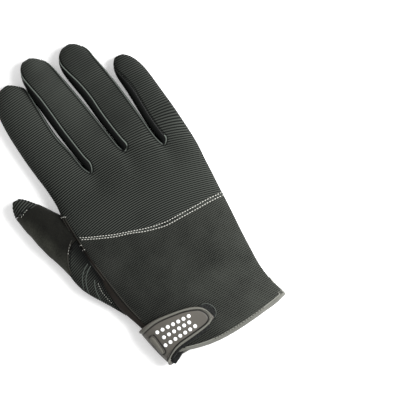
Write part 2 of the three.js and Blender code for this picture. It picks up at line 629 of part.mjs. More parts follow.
// Largest piece of a body, as a geometry.
function fromManifold(body) {
  const pieces = body.decompose().sort((a, b) => b.volume() - a.volume());
  const mesh = pieces[0].getMesh();
  const geometry = new THREE.BufferGeometry();
  geometry.setAttribute('position', new THREE.BufferAttribute(mesh.vertProperties, 3));
  geometry.setIndex(new THREE.BufferAttribute(mesh.triVerts, 1));
  return geometry;
}

function cut(geometry, ...tools) {
  let body = toManifold(geometry);
  for (const tool of tools) body = body.subtract(toManifold(tool));
  return fromManifold(body);
}

const skin = handSolid(SEAM);
const palm = cut(palmSheet, thumbHollow());
const seamAt = (shift) => (deg) => thumbSeamY(deg) + shift;
const flat = (y) => () => y;
const thumbGusset = cut(
  thumbRing(0, THUMB_HALF - THUMB_PART, GUSSET_CELLS, flat(ROOT_Y), seamAt(-SEAM / 2)), skin,
);
const thumbRootFront = cut(
  thumbRing(THUMB_HALF + THUMB_PART, 360 - 2 * THUMB_PART, ROOT_CELLS, flat(ROOT_Y), seamAt(-SEAM / 2)), skin,
);
const thumbBody = cut(
  thumbRing(0, 360, THUMB_CELLS, seamAt(SEAM / 2), flat(THUMB_TIP_SEAM - SEAM / 2)), skin,
);
const thumbTip = thumbRing(0, 360, THUMB_CELLS, flat(THUMB_TIP_SEAM + SEAM / 2), flat(TIP_Y));

// Cuff tape: a band round the mouth, from the strip's edge on the back to the thumb side of the palm.
const BINDING_START = 3; // cell of the palm's edge where the tape ends
const BINDING_ROUND = 0.4; // how much its two edges are rounded off
function cuffBinding() {
  const route = [];
  BACK_CELLS.forEach((cells, i) => {
    for (let c = 0; c < cells; c += 1) route.push([i, c, 1]);
  });
  [3, 2, 1, 0].forEach((i) => {
    for (let c = PALM_CELLS[i]; c > 0; c -= 1) {
      if (i > 0 || c > BINDING_START) route.push([i, c, -1]);
    }
  });
  const far = BINDING_WIDTH - BINDING_ROUND;
  const corners = [
    [BINDING_PROUD, BINDING_ROUND], [BINDING_PROUD, far], [0, BINDING_WIDTH], [-WALL, BINDING_WIDTH],
    [-WALL - BINDING_PROUD, far], [-WALL - BINDING_PROUD, BINDING_ROUND], [-WALL / 2, 0],
  ];
  const positions = route.flatMap(([i, c, side]) => corners.map(([off, along]) => (
    handCorner(0, i, c, side, along - BINDING_WIDTH - SEAM, off, false).outer.toArray())));
  const size = corners.length;
  const triangles = [];
  for (let r = 0; r + 1 < route.length; r += 1) {
    for (let c = 0; c < size; c += 1) {
      const [a, b] = [r * size + c, r * size + ((c + 1) % size)];
      triangles.push([a, b, b + size], [a, b + size, a + size]);
    }
  }
  const top = (route.length - 1) * size;
  for (let c = 1; c + 1 < size; c += 1) triangles.push([0, c + 1, c], [top, top + c, top + c + 1]);
  return solidFrom(positions, triangles);
}

// A point over the wrist's back at x, y, standing off by a height. Left of the edge it goes on round
// the side.
function overWrist(x, y, off) {
  const section = handSection(y);
  const reach = (x - section.middle) / section.wide;
  const fall = Math.min((Math.max(-1 - reach, 0) * section.wide) / section.tall, WRAP_LIMIT);
  const below = Math.PI + Math.atan2(fall, (1 - fall ** section.under) ** (1 / section.under));
  const phi = fall > 0 ? below : shareAngle(Math.max(reach, -1), section.round);
  const at = onSection(section, phi, off);
  return new THREE.Vector3(at.x, y, at.z);
}

// A point of the tab: its left part keeps to the wrist's slanting edge.
function overTab(x, y, off) {
  const drift = (hand.left(y) - hand.left(TAB_LEVEL)) * smooth((TAB_SLANT.from - x) / TAB_SLANT.over);
  return overWrist(x + drift, y, off);
}

// A flat-lying strip of tape over the wrist, as thick as given.
function tape(piece, lowY, highY) {
  return panel([grid(piece.rows, piece.columns, (r, c) => {
    const x = mix(piece.x0, piece.x1, c / piece.columns);
    const y = mix(lowY(x), highY(x), r / piece.rows);
    return { outer: overWrist(x, y, piece.off + piece.thick), inner: overWrist(x, y, piece.off) };
  })]);
}

// The tab hugs the thumb-side edge and rises over the tapes towards its free end.
const tabOff = (x) => mix(TAB.low, TAB.high, smooth((x - TAB_RISE.from) / TAB_RISE.over));
const TAB_COLUMNS = [-53.6, -52.8, -51.8, -50.8, -49.8, -48.6, -47.2, -45.6, -44, -41, -38, -34, -30,
  -26, -22, -18, -14, -11, -8.4, -6.4, -4.9, -4.4, -3.5, TAB_RIGHT];

// Relief across the tab at a distance from its edge: a raised rim, then a fine groove, then the flat field.
const RIM_LINES = [
  { in: 0, rise: 0.15 }, { in: 0.4, rise: TAB.rim }, { in: TAB.rimWidth - 0.3, rise: TAB.rim },
  { in: TAB.rimWidth, rise: -TAB.groove }, { in: TAB.rimWidth + 0.4, rise: -TAB.groove },
  { in: TAB.rimWidth + 0.8, rise: 0 },
];

function closureTab() {
  const rows = [
    ...RIM_LINES.map((line) => ({ ...line, low: true })),
    ...TAB_FIELD.shares.map((share) => ({ share, rise: 0 })),
    ...RIM_LINES.map((line) => ({ ...line, low: false })).reverse(),
  ];
  const points = rows.map((row) => TAB_COLUMNS.map((x) => {
    const low = tabLowerY(Math.max(x, TAB_ROOT));
    const high = tabUpperY(Math.max(x, TAB_ROOT));
    const endRise = RIM_LINES.filter((line) => TAB_RIGHT - x >= line.in * TAB_END.share).pop().rise;
    const squeeze = Math.min((high - low) / (2 * TAB_FIELD.least), 1);
    const inset = TAB_FIELD.inset * squeeze;
    const edgeY = row.low ? low + row.in * squeeze : high - row.in * squeeze;
    const y = row.share ? mix(low + inset, high - inset, row.share) : edgeY;
    const rise = x > TAB_END.from ? Math.max(row.rise, endRise) : row.rise;
    const off = tabOff(x);
    return { outer: overTab(x, y, off + TAB.thick + rise), inner: overTab(x, y, off) };
  }));
  return panel([points]);
}

// A rounded bar moulded proud of the tab, for the fingers to grip.
function gripBar() {
  return panel([grid(GRIP_BAR.rows, GRIP_BAR.columns, (r, c) => {
    const u = (2 * c) / GRIP_BAR.columns - 1;
    const v = (2 * r) / GRIP_BAR.rows - 1;
    const intoEnd = Math.max(Math.abs(v) - GRIP_BAR.straight, 0) / (1 - GRIP_BAR.straight);
    const full = Math.sqrt(Math.max(1 - intoEnd ** 2, 0));
    const reach = (v * GRIP_BAR.length) / 2;
    const x = GRIP_BAR.x + (u * GRIP_BAR.width * mix(GRIP_BAR.endWidth, 1, full)) / 2 - GRIP_BAR.lean * reach;
    const y = GRIP_BAR.y + reach;
    const floor = tabOff(x) + TAB.thick + SEAM / 2;
    const crown = GRIP_BAR.proud * (1 - GRIP_BAR.sideDrop * u * u) * mix(GRIP_BAR.endCrown, 1, full);
    return { outer: overTab(x, y, floor + crown), inner: overTab(x, y, floor) };
  })]);
}

const hookPad = tape(HOOK_PAD, (x) => tabLowerY(x) - HOOK_PAD.below, (x) => tabUpperY(x) - HOOK_PAD.above);

// How much a rounded corner takes off the loop patch's height, close to its right end.
function cornerCut(x) {
  const into = Math.max(x - (LOOP_PATCH.x1 - LOOP_PATCH.corner), 0);
  return LOOP_PATCH.corner - Math.sqrt(LOOP_PATCH.corner ** 2 - into ** 2);
}
const loopPatch = tape(LOOP_PATCH, (x) => LOOP_PATCH.y0 + cornerCut(x), (x) => LOOP_PATCH.y1 - cornerCut(x));

// A dome on the tab's field, square to the surface there, which is felt for over a short step.
const STEP = 0.5;
function dot(x, y) {
  const off = tabOff(x) + TAB.thick + DOT.gap;
  const foot = overWrist(x, y, off);
  const alongX = overWrist(x + STEP, y, off).sub(foot);
  const alongY = overWrist(x, y + STEP, off).sub(foot);
  const normal = alongX.cross(alongY).normalize();
  const profile = [
    new THREE.Vector2(0, 0), new THREE.Vector2(DOT.radius, 0),
    new THREE.Vector2(DOT.radius * DOT.shoulder, DOT.high * DOT.shoulder), new THREE.Vector2(0, DOT.high),
  ];
  const geometry = new THREE.LatheGeometry(profile, DOT.sides);
  geometry.applyQuaternion(new THREE.Quaternion().setFromUnitVectors(new THREE.Vector3(0, 1, 0), normal));
  return geometry.translate(foot.x, foot.y, foot.z);
}

// Flat reinforcements under the palm, drawn as smooth outlines seen from above.
const PATCHES = {
  knuckle_patch: [
    [-46, 139], [-45, 144.5], [-42, 146.5], [-38, 146], [-33, 138.5], [-27.5, 134.5], [-24, 138],
    [-21.5, 145.5],
    [-12, 146], [-8, 143], [-6, 135.5], [-1.5, 132], [2.5, 136], [5, 142.5], [14, 141], [18, 134],
    [26, 129],
    [24.5, 124], [0, 123], [-30, 124], [-42, 124], [-45.5, 130],
  ],
  thenar_patch: [
    [-28, 107], [-14, 101], [-4, 95], [-0.5, 82], [-3, 63], [-8, 56], [-20, 55.5], [-33, 62],
    [-37, 72], [-35.5, 92], [-34, 102],
  ],
  heel_patch_upper: [
    [38, 114.5], [20, 115], [0, 117.6], [-10, 118.4], [-15, 113.5], [-11, 107.5], [3, 102], [20, 101.4],
    [39, 99.8],
  ],
  heel_patch_lower: [
    [4, 99], [18, 93.5], [27, 84.5], [20, 79.6], [9, 83.5], [5.5, 76], [4, 60], [8, 53.5], [22, 43],
    [32, 38],
    [36, 43], [38, 60], [38.5, 80], [38.5, 97.6],
  ],
};
const POINTS_PER_MARK = 2;
function patch(outline) {
  const curve = new THREE.SplineCurve([...outline, outline[0]].map(([x, y]) => new THREE.Vector2(x, y)));
  const shape = new THREE.Shape(curve.getPoints(outline.length * POINTS_PER_MARK).slice(0, -1));
  return new THREE.ExtrudeGeometry(shape, { depth: PATCH, bevelEnabled: false });
}

const glove = new THREE.Group();
glove.name = 'mechanic_glove';

function add(name, geometry, finish) {
  const mesh = new THREE.Mesh(geometry, new THREE.MeshStandardMaterial({ ...finish, metalness: 0 }));
  mesh.name = name;
  glove.add(mesh);
}

add('knuckle_back', knuckleBack, FINISH.ribKnit);
add('wrist_back', wristBack, FINISH.plainKnit);
add('palm', palm, FINISH.suede);
['index_middle', 'middle_ring', 'ring_pinky'].forEach((pair, index) => {
  add(`fourchette_${pair}`, sideStrip(index), FINISH.strip);
});
add('thumb_gusset', thumbGusset, FINISH.ribKnit);
add('thumb_root_front', thumbRootFront, FINISH.suede);
add('thumb_body', thumbBody, FINISH.suede);
add('thumb_tip', thumbTip, FINISH.ribKnit);
for (const [name, outline] of Object.entries(PATCHES)) add(name, patch(outline), FINISH.suede);
add('cuff_binding', cuffBinding(), FINISH.binding);
add('loop_patch', loopPatch, FINISH.loop);
add('hook_pad', hookPad, FINISH.hook);
add('closure_tab', closureTab(), FINISH.tab);
add('grip_bar', gripBar(), FINISH.tab);
let dots = 0;
for (const row of DOT_ROWS) {
  for (let i = 0; i < row.count; i += 1) {
    dots += 1;
    const name = `tab_dot_${String(dots).padStart(2, '0')}`;
    add(name, dot(row.x + i * row.pitch, row.y + i * row.fall), FINISH.dot);
  }
}

// The origin is under the middle of the glove, on the surface that it lies on.
const box = new THREE.Box3().setFromObject(glove);
for (const mesh of glove.children) {
  mesh.geometry.translate(-(box.min.x + box.max.x) / 2, -(box.min.y + box.max.y) / 2, -box.min.z);
}

export default glove;
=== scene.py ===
# %% [markdown]
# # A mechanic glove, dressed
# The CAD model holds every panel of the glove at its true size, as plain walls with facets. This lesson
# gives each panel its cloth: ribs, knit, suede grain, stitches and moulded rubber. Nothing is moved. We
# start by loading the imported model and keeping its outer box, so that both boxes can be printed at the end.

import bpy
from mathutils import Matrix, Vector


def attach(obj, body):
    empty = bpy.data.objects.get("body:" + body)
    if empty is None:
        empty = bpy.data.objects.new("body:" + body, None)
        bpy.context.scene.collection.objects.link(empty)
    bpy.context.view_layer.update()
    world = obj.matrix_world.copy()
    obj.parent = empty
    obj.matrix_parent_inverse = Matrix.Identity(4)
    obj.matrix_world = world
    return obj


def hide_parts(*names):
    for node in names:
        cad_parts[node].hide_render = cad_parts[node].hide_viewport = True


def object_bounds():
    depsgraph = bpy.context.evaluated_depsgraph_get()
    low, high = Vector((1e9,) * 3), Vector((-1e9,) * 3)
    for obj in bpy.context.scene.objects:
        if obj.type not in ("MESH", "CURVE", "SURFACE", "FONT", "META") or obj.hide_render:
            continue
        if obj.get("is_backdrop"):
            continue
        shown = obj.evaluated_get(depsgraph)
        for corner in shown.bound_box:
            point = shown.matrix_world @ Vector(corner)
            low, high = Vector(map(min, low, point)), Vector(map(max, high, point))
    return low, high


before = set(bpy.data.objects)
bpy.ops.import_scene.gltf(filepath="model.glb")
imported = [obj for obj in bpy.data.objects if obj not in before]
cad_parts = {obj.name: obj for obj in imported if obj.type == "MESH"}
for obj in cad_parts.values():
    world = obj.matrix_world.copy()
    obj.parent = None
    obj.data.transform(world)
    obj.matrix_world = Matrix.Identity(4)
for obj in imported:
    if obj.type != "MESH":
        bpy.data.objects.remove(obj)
cad_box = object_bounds()
print("CAD nodes:", len(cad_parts))

# %% Other modules and units
import math

import bmesh
import bpy
import numpy as np
from mathutils import Vector
from mathutils.bvhtree import BVHTree
from mathutils.kdtree import KDTree

MM = 0.001
print("lengths below are in millimetres, times MM")

# %% [markdown]
# ## The camera
# The photo looks straight down on the glove, which lies turned a third of a right angle on the page. A
# far camera with a long lens keeps the outlines free of perspective, as a product shot has them.

# %% Camera at the photo's angle
CAMERA_HEIGHT = 2400 * MM
CAMERA_TURN = math.radians(-33)
PAGE_CENTRE = (49.0 * MM, -29.9 * MM)
PAGE_WIDTH = 288 * MM
GLOVE_MIDDLE = 12 * MM

camera = bpy.data.objects.new("camera", bpy.data.cameras.new("camera"))
bpy.context.scene.collection.objects.link(camera)
camera.location = (*PAGE_CENTRE, CAMERA_HEIGHT)
camera.rotation_euler = (0, 0, CAMERA_TURN)
camera.data.lens = camera.data.sensor_width * (CAMERA_HEIGHT - GLOVE_MIDDLE) / PAGE_WIDTH
camera.data.clip_end = 10
bpy.context.scene.camera = camera
page_right = Vector((math.cos(CAMERA_TURN), math.sin(CAMERA_TURN), 0))
page_up = Vector((-math.sin(CAMERA_TURN), math.cos(CAMERA_TURN), 0))
print("lens:", round(camera.data.lens), "mm")

# %% [markdown]
# ## Light
# A studio shot of a dark glove needs a soft light and a bright room, or the folds vanish. The key lamp
# stands close, at the right of the page, so that the glove grows darker towards the thumb. A weaker lamp
# stands at the upper left. The world adds the rest.

# %% Lamps, room and floor
KEY_POWER = 9.5
FILL_POWER = 6
KEY_PLACE = (0.5, 0.12, 0.45)
KEY_SIZE = 0.5
FILL_PLACE = (-0.9, 0.8, 1.3)
FILL_SIZE = 1.0
ROOM_STRENGTH = 0.5
FLOOR_SIZE = 6
FLOOR_GLOW = 0.28


def softbox(name, place, size, power):
    """A square lamp that looks at the glove. Its place is across, up and above the page, in metres."""
    light = bpy.data.lights.new(name, "AREA")
    light.size = size
    light.energy = power
    lamp = bpy.data.objects.new(name, light)
    bpy.context.scene.collection.objects.link(lamp)
    across, up, height = place
    lamp.location = page_right * across + page_up * up + Vector((0, 0, height))
    lamp.rotation_euler = (-lamp.location).to_track_quat("-Z", "Y").to_euler()


softbox("key_light", KEY_PLACE, KEY_SIZE, KEY_POWER)
softbox("fill_light", FILL_PLACE, FILL_SIZE, FILL_POWER)
world = bpy.data.worlds.new("studio")
world.use_nodes = True
room = world.node_tree.nodes["Background"]
room.inputs["Color"].default_value = (1, 1, 1, 1)
room.inputs["Strength"].default_value = ROOM_STRENGTH
bpy.context.scene.world = world
bpy.context.scene.view_settings.view_transform = "Standard"

bpy.ops.object.select_all(action="DESELECT")
bpy.ops.mesh.primitive_plane_add(size=FLOOR_SIZE)
floor = bpy.context.active_object
floor.name = "floor"
floor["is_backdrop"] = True
print("lamps:", len(bpy.data.lights))

# %% [markdown]
# ## A small language for materials
# A material is a graph of nodes. Written out one by one, the sums in it get long, so we wrap a socket in
# a class that knows Python's operators: an expression such as 1 - mask then adds its own Math node. Any
# other node comes from one method, which sets the node up and connects its sockets.

# %% Socket wrapper and finish
# The Mix node has a set of sockets for each kind of value. These are the places of its colour ones.
MIX_LOW = 6
MIX_HIGH = 7
MIX_COLOUR = 2


class Wire:
    """An output socket that can be added, multiplied and so on."""

    def __init__(self, finish, socket):
        self.finish = finish
        self.socket = socket

    def math(self, operation, *others):
        return self.finish.node("ShaderNodeMath", {"operation": operation}, [self, *others])

    def flipped(self, operation, other):
        return self.finish.node("ShaderNodeMath", {"operation": operation}, [other, self])

    def __add__(self, other):
        return self.math("ADD", other)

    def __sub__(self, other):
        return self.math("SUBTRACT", other)

    def __mul__(self, other):
        return self.math("MULTIPLY", other)

    def __truediv__(self, other):
        return self.math("DIVIDE", other)

    def __rsub__(self, other):
        return self.flipped("SUBTRACT", other)

    def __rtruediv__(self, other):
        return self.flipped("DIVIDE", other)

    __radd__ = __add__
    __rmul__ = __mul__

    def wave(self, turns):
        """A wave between 0 and 1 that turns so many times for each unit."""
        return (self * (2 * math.pi * turns)).math("COSINE") * 0.5 + 0.5

    def between(self, low, high):
        """0 below low, 1 above high, and smooth in between."""
        sockets = {"Value": self, "From Min": low, "From Max": high}
        return self.finish.node("ShaderNodeMapRange", {"interpolation_type": "SMOOTHSTEP"}, sockets)


class Finish:
    """A material under construction, with its shader ready."""

    def __init__(self, name, **sockets):
        self.material = bpy.data.materials.new(name)
        self.material.use_nodes = True
        self.tree = self.material.node_tree
        self.shader = self.tree.nodes["Principled BSDF"]
        for socket, value in sockets.items():
            self.feed(socket.replace("_", " "), value)

    def node(self, kind, settings=None, sockets=(), output=0):
        made = self.tree.nodes.new(kind)
        for name, value in (settings or {}).items():
            setattr(made, name, value)
        pairs = sockets.items() if isinstance(sockets, dict) else enumerate(sockets)
        for key, value in pairs:
            self.connect(made.inputs[key], value)
        return Wire(self, made.outputs[output])

    def connect(self, socket, value):
        if isinstance(value, Wire):
            self.tree.links.new(value.socket, socket)
        elif isinstance(value, tuple) and socket.type == "RGBA":
            socket.default_value = (*value[:3], 1)
        else:
            socket.default_value = value

    def feed(self, socket, value):
        self.connect(self.shader.inputs[socket], value)

    def place(self):
        return self.node("ShaderNodeTexCoord", output="Object")

    def axes(self):
        split = self.node("ShaderNodeSeparateXYZ", sockets=[self.place()])
        return [Wire(self, socket) for socket in split.socket.node.outputs]

    def attribute(self, name):
        return self.node("ShaderNodeAttribute", {"attribute_name": name}, output="Fac")

    def noise(self, size, detail=3, stretch=(1, 1, 1)):
        """Noise between 0 and 1 whose patches are about size metres across."""
        scaled = self.node("ShaderNodeMapping", sockets={"Vector": self.place(), "Scale": stretch})
        sockets = {"Vector": scaled, "Scale": 1 / size, "Detail": detail}
        return self.node("ShaderNodeTexNoise", sockets=sockets)

    def blend(self, share, low, high):
        """Colour low where share is 0, high where it is 1."""
        sockets = {"Factor": share, MIX_LOW: low, MIX_HIGH: high}
        return self.node("ShaderNodeMix", {"data_type": "RGBA"}, sockets, output=MIX_COLOUR)

    def bump(self, height, depth):
        sockets = {"Height": height, "Distance": depth}
        return self.node("ShaderNodeBump", sockets=sockets, output="Normal")

    def dress(self, colour, height, depth):
        """Gives the surface its colour and its relief."""
        self.feed("Base Color", colour)
        self.feed("Normal", self.bump(height, depth))
        return self


def shade(red, green, blue):
    """A colour as picked from a screen, turned into the linear numbers that shaders use."""
    def linear(value):
        value /= 255
        return value / 12.92 if value <= 0.04045 else ((value + 0.055) / 1.055) ** 2.4
    return tuple(linear(value) for value in (red, green, blue))


def one_tone(name, colour, roughness, shine):
    return Finish(name, Base_Color=colour, Roughness=roughness, Specular_IOR_Level=shine)


print("white is", shade(255, 255, 255))

# %% [markdown]
# ## A copy to work on
# A panel of the real glove is cut flat and pulled into shape by its seams. Ours already has that shape in
# the CAD model, as loose triangles. So we copy the node, merge the corners that meet, and pair the
# triangles into four-sided faces, which a rounded surface needs.

# %% Select, edit and copy
PAIR_ANGLE = math.radians(60)
MERGE = 0.01 * MM


def deselect_all():
    if bpy.context.object and bpy.context.object.mode != "OBJECT":
        bpy.ops.object.mode_set(mode="OBJECT")
    bpy.ops.object.select_all(action="DESELECT")


def take(piece):
    """Makes a piece the only selected and active one."""
    deselect_all()
    piece.select_set(True)
    bpy.context.view_layer.objects.active = piece


def edit(piece, kind="VERT"):
    """Opens a piece in edit mode with nothing selected."""
    take(piece)
    bpy.ops.object.mode_set(mode="EDIT")
    bpy.ops.mesh.select_mode(type=kind)
    bpy.ops.mesh.select_all(action="DESELECT")


def close_edit():
    bpy.ops.object.mode_set(mode="OBJECT")


def join_into(active, pieces):
    """Makes several pieces part of one of them."""
    take(active)
    for piece in pieces:
        piece.select_set(True)
    bpy.ops.object.join()
    return active


def new_piece(name, verts, faces):
    mesh = bpy.data.meshes.new(name)
    mesh.from_pydata(verts, [], faces)
    piece = bpy.data.objects.new(name, mesh)
    bpy.context.scene.collection.objects.link(piece)
    return piece


def copy_of(node, name):
    """A piece with a node's shape, of four-sided faces where the triangles pair up."""
    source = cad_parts[node].data
    piece = new_piece(name, [v.co for v in source.vertices], [p.vertices[:] for p in source.polygons])
    edit(piece)
    bpy.ops.mesh.select_all(action="SELECT")
    bpy.ops.mesh.remove_doubles(threshold=MERGE)
    bpy.ops.mesh.tris_convert_to_quads(face_threshold=PAIR_ANGLE, shape_threshold=PAIR_ANGLE)
    close_edit()
    return piece


print("corners closer than", MERGE / MM, "mm become one")

# %% [markdown]
# ## From facets to cloth
# A subdivision surface rounds the copy. Its rim is creased first, because a seam must stay where it is
# sewn. Where a pattern needs more rows of vertices, the long edges are cut once more.

# %% Crease, round and cut finer
RIM_ANGLE = math.radians(55)
# Where each finger ends to the right and at its tip, in mm.
FINGERS = [{"right": -12, "tip": 115.5}, {"right": 14, "tip": 123.3}, {"right": 43, "tip": 116.3},
           {"right": 80, "tip": 90.1}]
TIP_LENGTH = 14
WALL_EDGE = 2.2 * MM


def from_tip(x, y):
    """How far a place lies below the tip of its finger, in mm."""
    return next(finger["tip"] for finger in FINGERS if x <= finger["right"]) - y


def crease_rim(piece, strength):
    """Creases sharp edges. At the fingertips it skips the short ones through the wall, which make corners."""
    edit(piece, "EDGE")
    bpy.ops.mesh.edges_select_sharp(sharpness=RIM_ANGLE)
    mesh = bmesh.from_edit_mesh(piece.data)
    for edge in mesh.edges:
        middle = (edge.verts[0].co + edge.verts[1].co) / 2 / MM
        if edge.calc_length() < WALL_EDGE and from_tip(middle.x, middle.y) < TIP_LENGTH:
            edge.select = False
    bpy.ops.transform.edge_crease(value=strength)
    close_edit()


def apply_modifier(piece, kind, **settings):
    take(piece)
    modifier = piece.modifiers.new(kind.lower(), kind)
    for name, value in settings.items():
        setattr(modifier, name, value)
    bpy.ops.object.modifier_apply(modifier=modifier.name)


def smooth_shade(piece, angle=None):
    take(piece)
    if angle is None:
        bpy.ops.object.shade_smooth()
    else:
        bpy.ops.object.shade_smooth_by_angle(angle=math.radians(angle))


def round_panel(node, name, levels=2, crease=0.9):
    piece = copy_of(node, name)
    crease_rim(piece, crease)
    apply_modifier(piece, "SUBSURF", levels=levels, render_levels=levels)
    return piece


def split_long(piece, longest, cuts):
    """Cuts the edges that run along the fingers, where they are longer than a length."""
    edit(piece, "EDGE")
    mesh = bmesh.from_edit_mesh(piece.data)
    for edge in mesh.edges:
        way = edge.verts[1].co - edge.verts[0].co
        edge.select = abs(way.y) > abs(way.x) and way.length > longest
    bpy.ops.mesh.subdivide(number_cuts=cuts)
    close_edit()


print("rim angle:", round(math.degrees(RIM_ANGLE)), "degrees")

# %% [markdown]
# ## Points of a cloth
# Once a panel is round, we shape it vertex by vertex. All vertices are read into one array, moved along
# their normals with a single sum, and written back. Numbers that a material needs later, such as the
# phase of a rib, are stored on the vertices too, as attributes.

# %% Read, move and mark vertices
def read_vertices(piece, field):
    flat = np.zeros(3 * len(piece.data.vertices))
    piece.data.vertices.foreach_get(field, flat)
    return flat.reshape(-1, 3)


def points_of(piece):
    return read_vertices(piece, "co")


def normals_of(piece):
    return read_vertices(piece, "normal")


def pushed(piece, points, heights):
    """Points of a piece, each moved along the normal of its vertex by its own height."""
    return points + normals_of(piece) * heights[:, None]


def move_points(piece, points):
    piece.data.vertices.foreach_set("co", np.asarray(points, np.float32).ravel())
    piece.data.update()


def write_attribute(piece, name, values):
    made = piece.data.attributes.new(name, "FLOAT", "POINT")
    made.data.foreach_set("value", np.asarray(values, np.float32))


def finish_piece(piece, slot, finish, *nodes, corners=None):
    """Shades a piece, sharp at corners past an angle, gives it a material, hangs it under the root body and
    hides the CAD nodes it replaces.
    """
    smooth_shade(piece, corners)
    piece.data.materials.clear()
    piece.data.materials.append(finish.material)
    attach(piece, "root")
    if nodes:
        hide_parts(*nodes)
    print(f"{piece.name}: {len(piece.data.polygons)} faces")
    return piece


print("vertex tools ready")

# %% [markdown]
# ## Seams
# A seam runs where a panel ends, so we find the sharp edges of the panel and link them into chains. A
# curve through a chain gives places at an even pitch, and a search tree tells how far any vertex lies
# from the seam.

# %% Rims, routes and distances
CURVE_STEPS = 12
SEAM_MARKS = 0.4 * MM


def rim_loops(node, up=-1):
    """Chains of a panel's sharp edges, longest first. A face beside each edge has to look up enough."""
    probe = copy_of(node, "probe")
    mesh = bmesh.new()
    mesh.from_mesh(probe.data)
    sharp = [e for e in mesh.edges if len(e.link_faces) == 2 and e.calc_face_angle() > RIM_ANGLE
             and max(face.normal.z for face in e.link_faces) > up]
    ends = {}
    for edge in sharp:
        for vert in edge.verts:
            ends.setdefault(vert.index, []).append(edge.other_vert(vert).index)
    places = [v.co.copy() for v in mesh.verts]
    mesh.free()
    bpy.data.objects.remove(probe)
    loops = []
    while ends:
        loose = [vert for vert, others in ends.items() if len(others) % 2]
        here = loose[0] if loose else next(iter(ends))
        loop = [here]
        while ends.get(here):
            there = ends[here].pop()
            if here in ends.get(there, []):
                ends[there].remove(here)
            loop.append(there)
            here = there
        ends = {k: v for k, v in ends.items() if v}
        loops.append(np.array([places[i] for i in loop]))
    return sorted(loops, key=lambda loop: -route_length(loop))


def route_length(route):
    return float(np.linalg.norm(np.diff(route, axis=0), axis=1).sum())


def along(route, pitch):
    """Points at a fixed pitch along a smooth curve through a few points, in metres."""
    knots = np.array(route, float)
    padded = np.vstack([2 * knots[0] - knots[1], knots, 2 * knots[-1] - knots[-2]])
    fine = []
    for i in range(1, len(padded) - 2):
        before, start, end, after = padded[i - 1:i + 3]
        squared = 2 * before - 5 * start + 4 * end - after
        cubed = 3 * start - before - 3 * end + after
        for t in np.linspace(0, 1, CURVE_STEPS, endpoint=False):
            fine.append(0.5 * (2 * start + (end - before) * t + squared * t ** 2 + cubed * t ** 3))
    fine.append(knots[-1])
    fine = np.array(fine)
    walked = np.concatenate([[0], np.cumsum(np.linalg.norm(np.diff(fine, axis=0), axis=1))])
    count = max(int(walked[-1] / pitch), 1)
    marks = np.linspace(0, walked[-1], count + 1)
    return np.stack([np.interp(marks, walked, fine[:, k]) for k in range(fine.shape[1])], axis=1)


def tree_of(places):
    """A search tree that finds the nearest of many places."""
    tree = KDTree(len(places))
    for i, place in enumerate(places):
        tree.insert(place, i)
    tree.balance()
    return tree


def seam_distance(piece, *routes):
    """Keeps how far each vertex lies from the nearest seam, in millimetres."""
    tree = tree_of(np.vstack([along(route, SEAM_MARKS) for route in routes]))
    away = np.array([tree.find(co)[2] for co in points_of(piece)])
    write_attribute(piece, "from_seam", away / MM)


print("places marked on each seam, every", SEAM_MARKS / MM, "mm")

# %% [markdown]
# ## The ribbed back
# The back of the hand and fingers is one panel of elastic rib knit. Its ribs run across the hand, about
# 1.6 mm apart, bowed a little by the pull of the seams. At arm's length they are the main thing that is
# seen, so they are real relief here: rows are cut close enough to carry a wave, and every outer vertex
# moves along its normal. The phase of the wave is kept as an attribute, and the material follows it with
# painted shade, near black in the grooves, and painted highlight on the crests.

# %% Ribs
RIB_PITCH = 1.56 * MM
RIB_HEIGHT = 0.22 * MM
RIB_ROW = 2.0 * MM
RIB_STEP = 0.5 * MM
RIB_CUTS = 3
BOW_CENTRE = -1 * MM
BOW_THUMB_SIDE = 2.2
BOW_LITTLE_SIDE = 3.0
FINGER_BOW = 0.3
BOW_FADES = (10 * MM, 50 * MM)
RIM_FACES_UP = 0.1
SHORT_RIM = 12 * MM


def ease(share):
    """0 to 1 with a soft start and end."""
    held = np.clip(share, 0, 1)
    return held * held * (3 - 2 * held)


def rib_phase(points):
    """Number of ribs up from the origin. The ribs are parabolas that flatten out on the fingers."""
    off = points[:, 0] - BOW_CENTRE
    bow = np.where(off < 0, BOW_THUMB_SIDE, BOW_LITTLE_SIDE)
    start, end = BOW_FADES
    kept = 1 - (1 - FINGER_BOW) * ease((points[:, 1] - start) / (end - start))
    return (points[:, 1] + bow * kept * off ** 2) / RIB_PITCH


def soft_noise(points, size, seed=0):
    """Smooth noise between -1 and 1: a few crossed waves whose length is about the given size."""
    rng = np.random.default_rng(seed)
    total = np.zeros(len(points))
    for _ in range(6):
        way = rng.normal(size=3)
        way /= np.linalg.norm(way)
        turns = 2 * math.pi / (size * rng.uniform(0.7, 1.5))
        total += np.sin(points @ way * turns + rng.uniform(0, 6.28))
    return total / 3.5


def rib(piece, share, tone, phase_of=rib_phase):
    """Raises ribs on the vertices of a piece and keeps their phase, depth and tone for the material."""
    points = points_of(piece)
    phase = phase_of(points)
    raised = pushed(piece, points, RIB_HEIGHT * share * 0.5 * np.cos(2 * math.pi * phase))
    write_attribute(piece, "rib_phase", phase)
    write_attribute(piece, "rib_share", share)
    write_attribute(piece, "tone", tone)
    move_points(piece, raised)


# Middle of each finger in mm, how strong the relief is there, and how much painted light and shade scale the
# yarn's colour there.
FINGERS_AT = (-27.5, 4, 31, 58)
RIB_DEPTH = {"hand": (1.5, 1.45, 1.1, 1.0), "root": (1.4, 0.95, 0.75, 0.85), "tip": (0.9, 0.35, 0.6, 0.8)}
KNIT_PAINTED_LIGHT = {"hand": (1.2, 1.0, 1.15, 1.4), "root": (1.25, 1.05, 0.82, 0.82), "tip": (1.25, 1.45, 0.9, 0.85)}


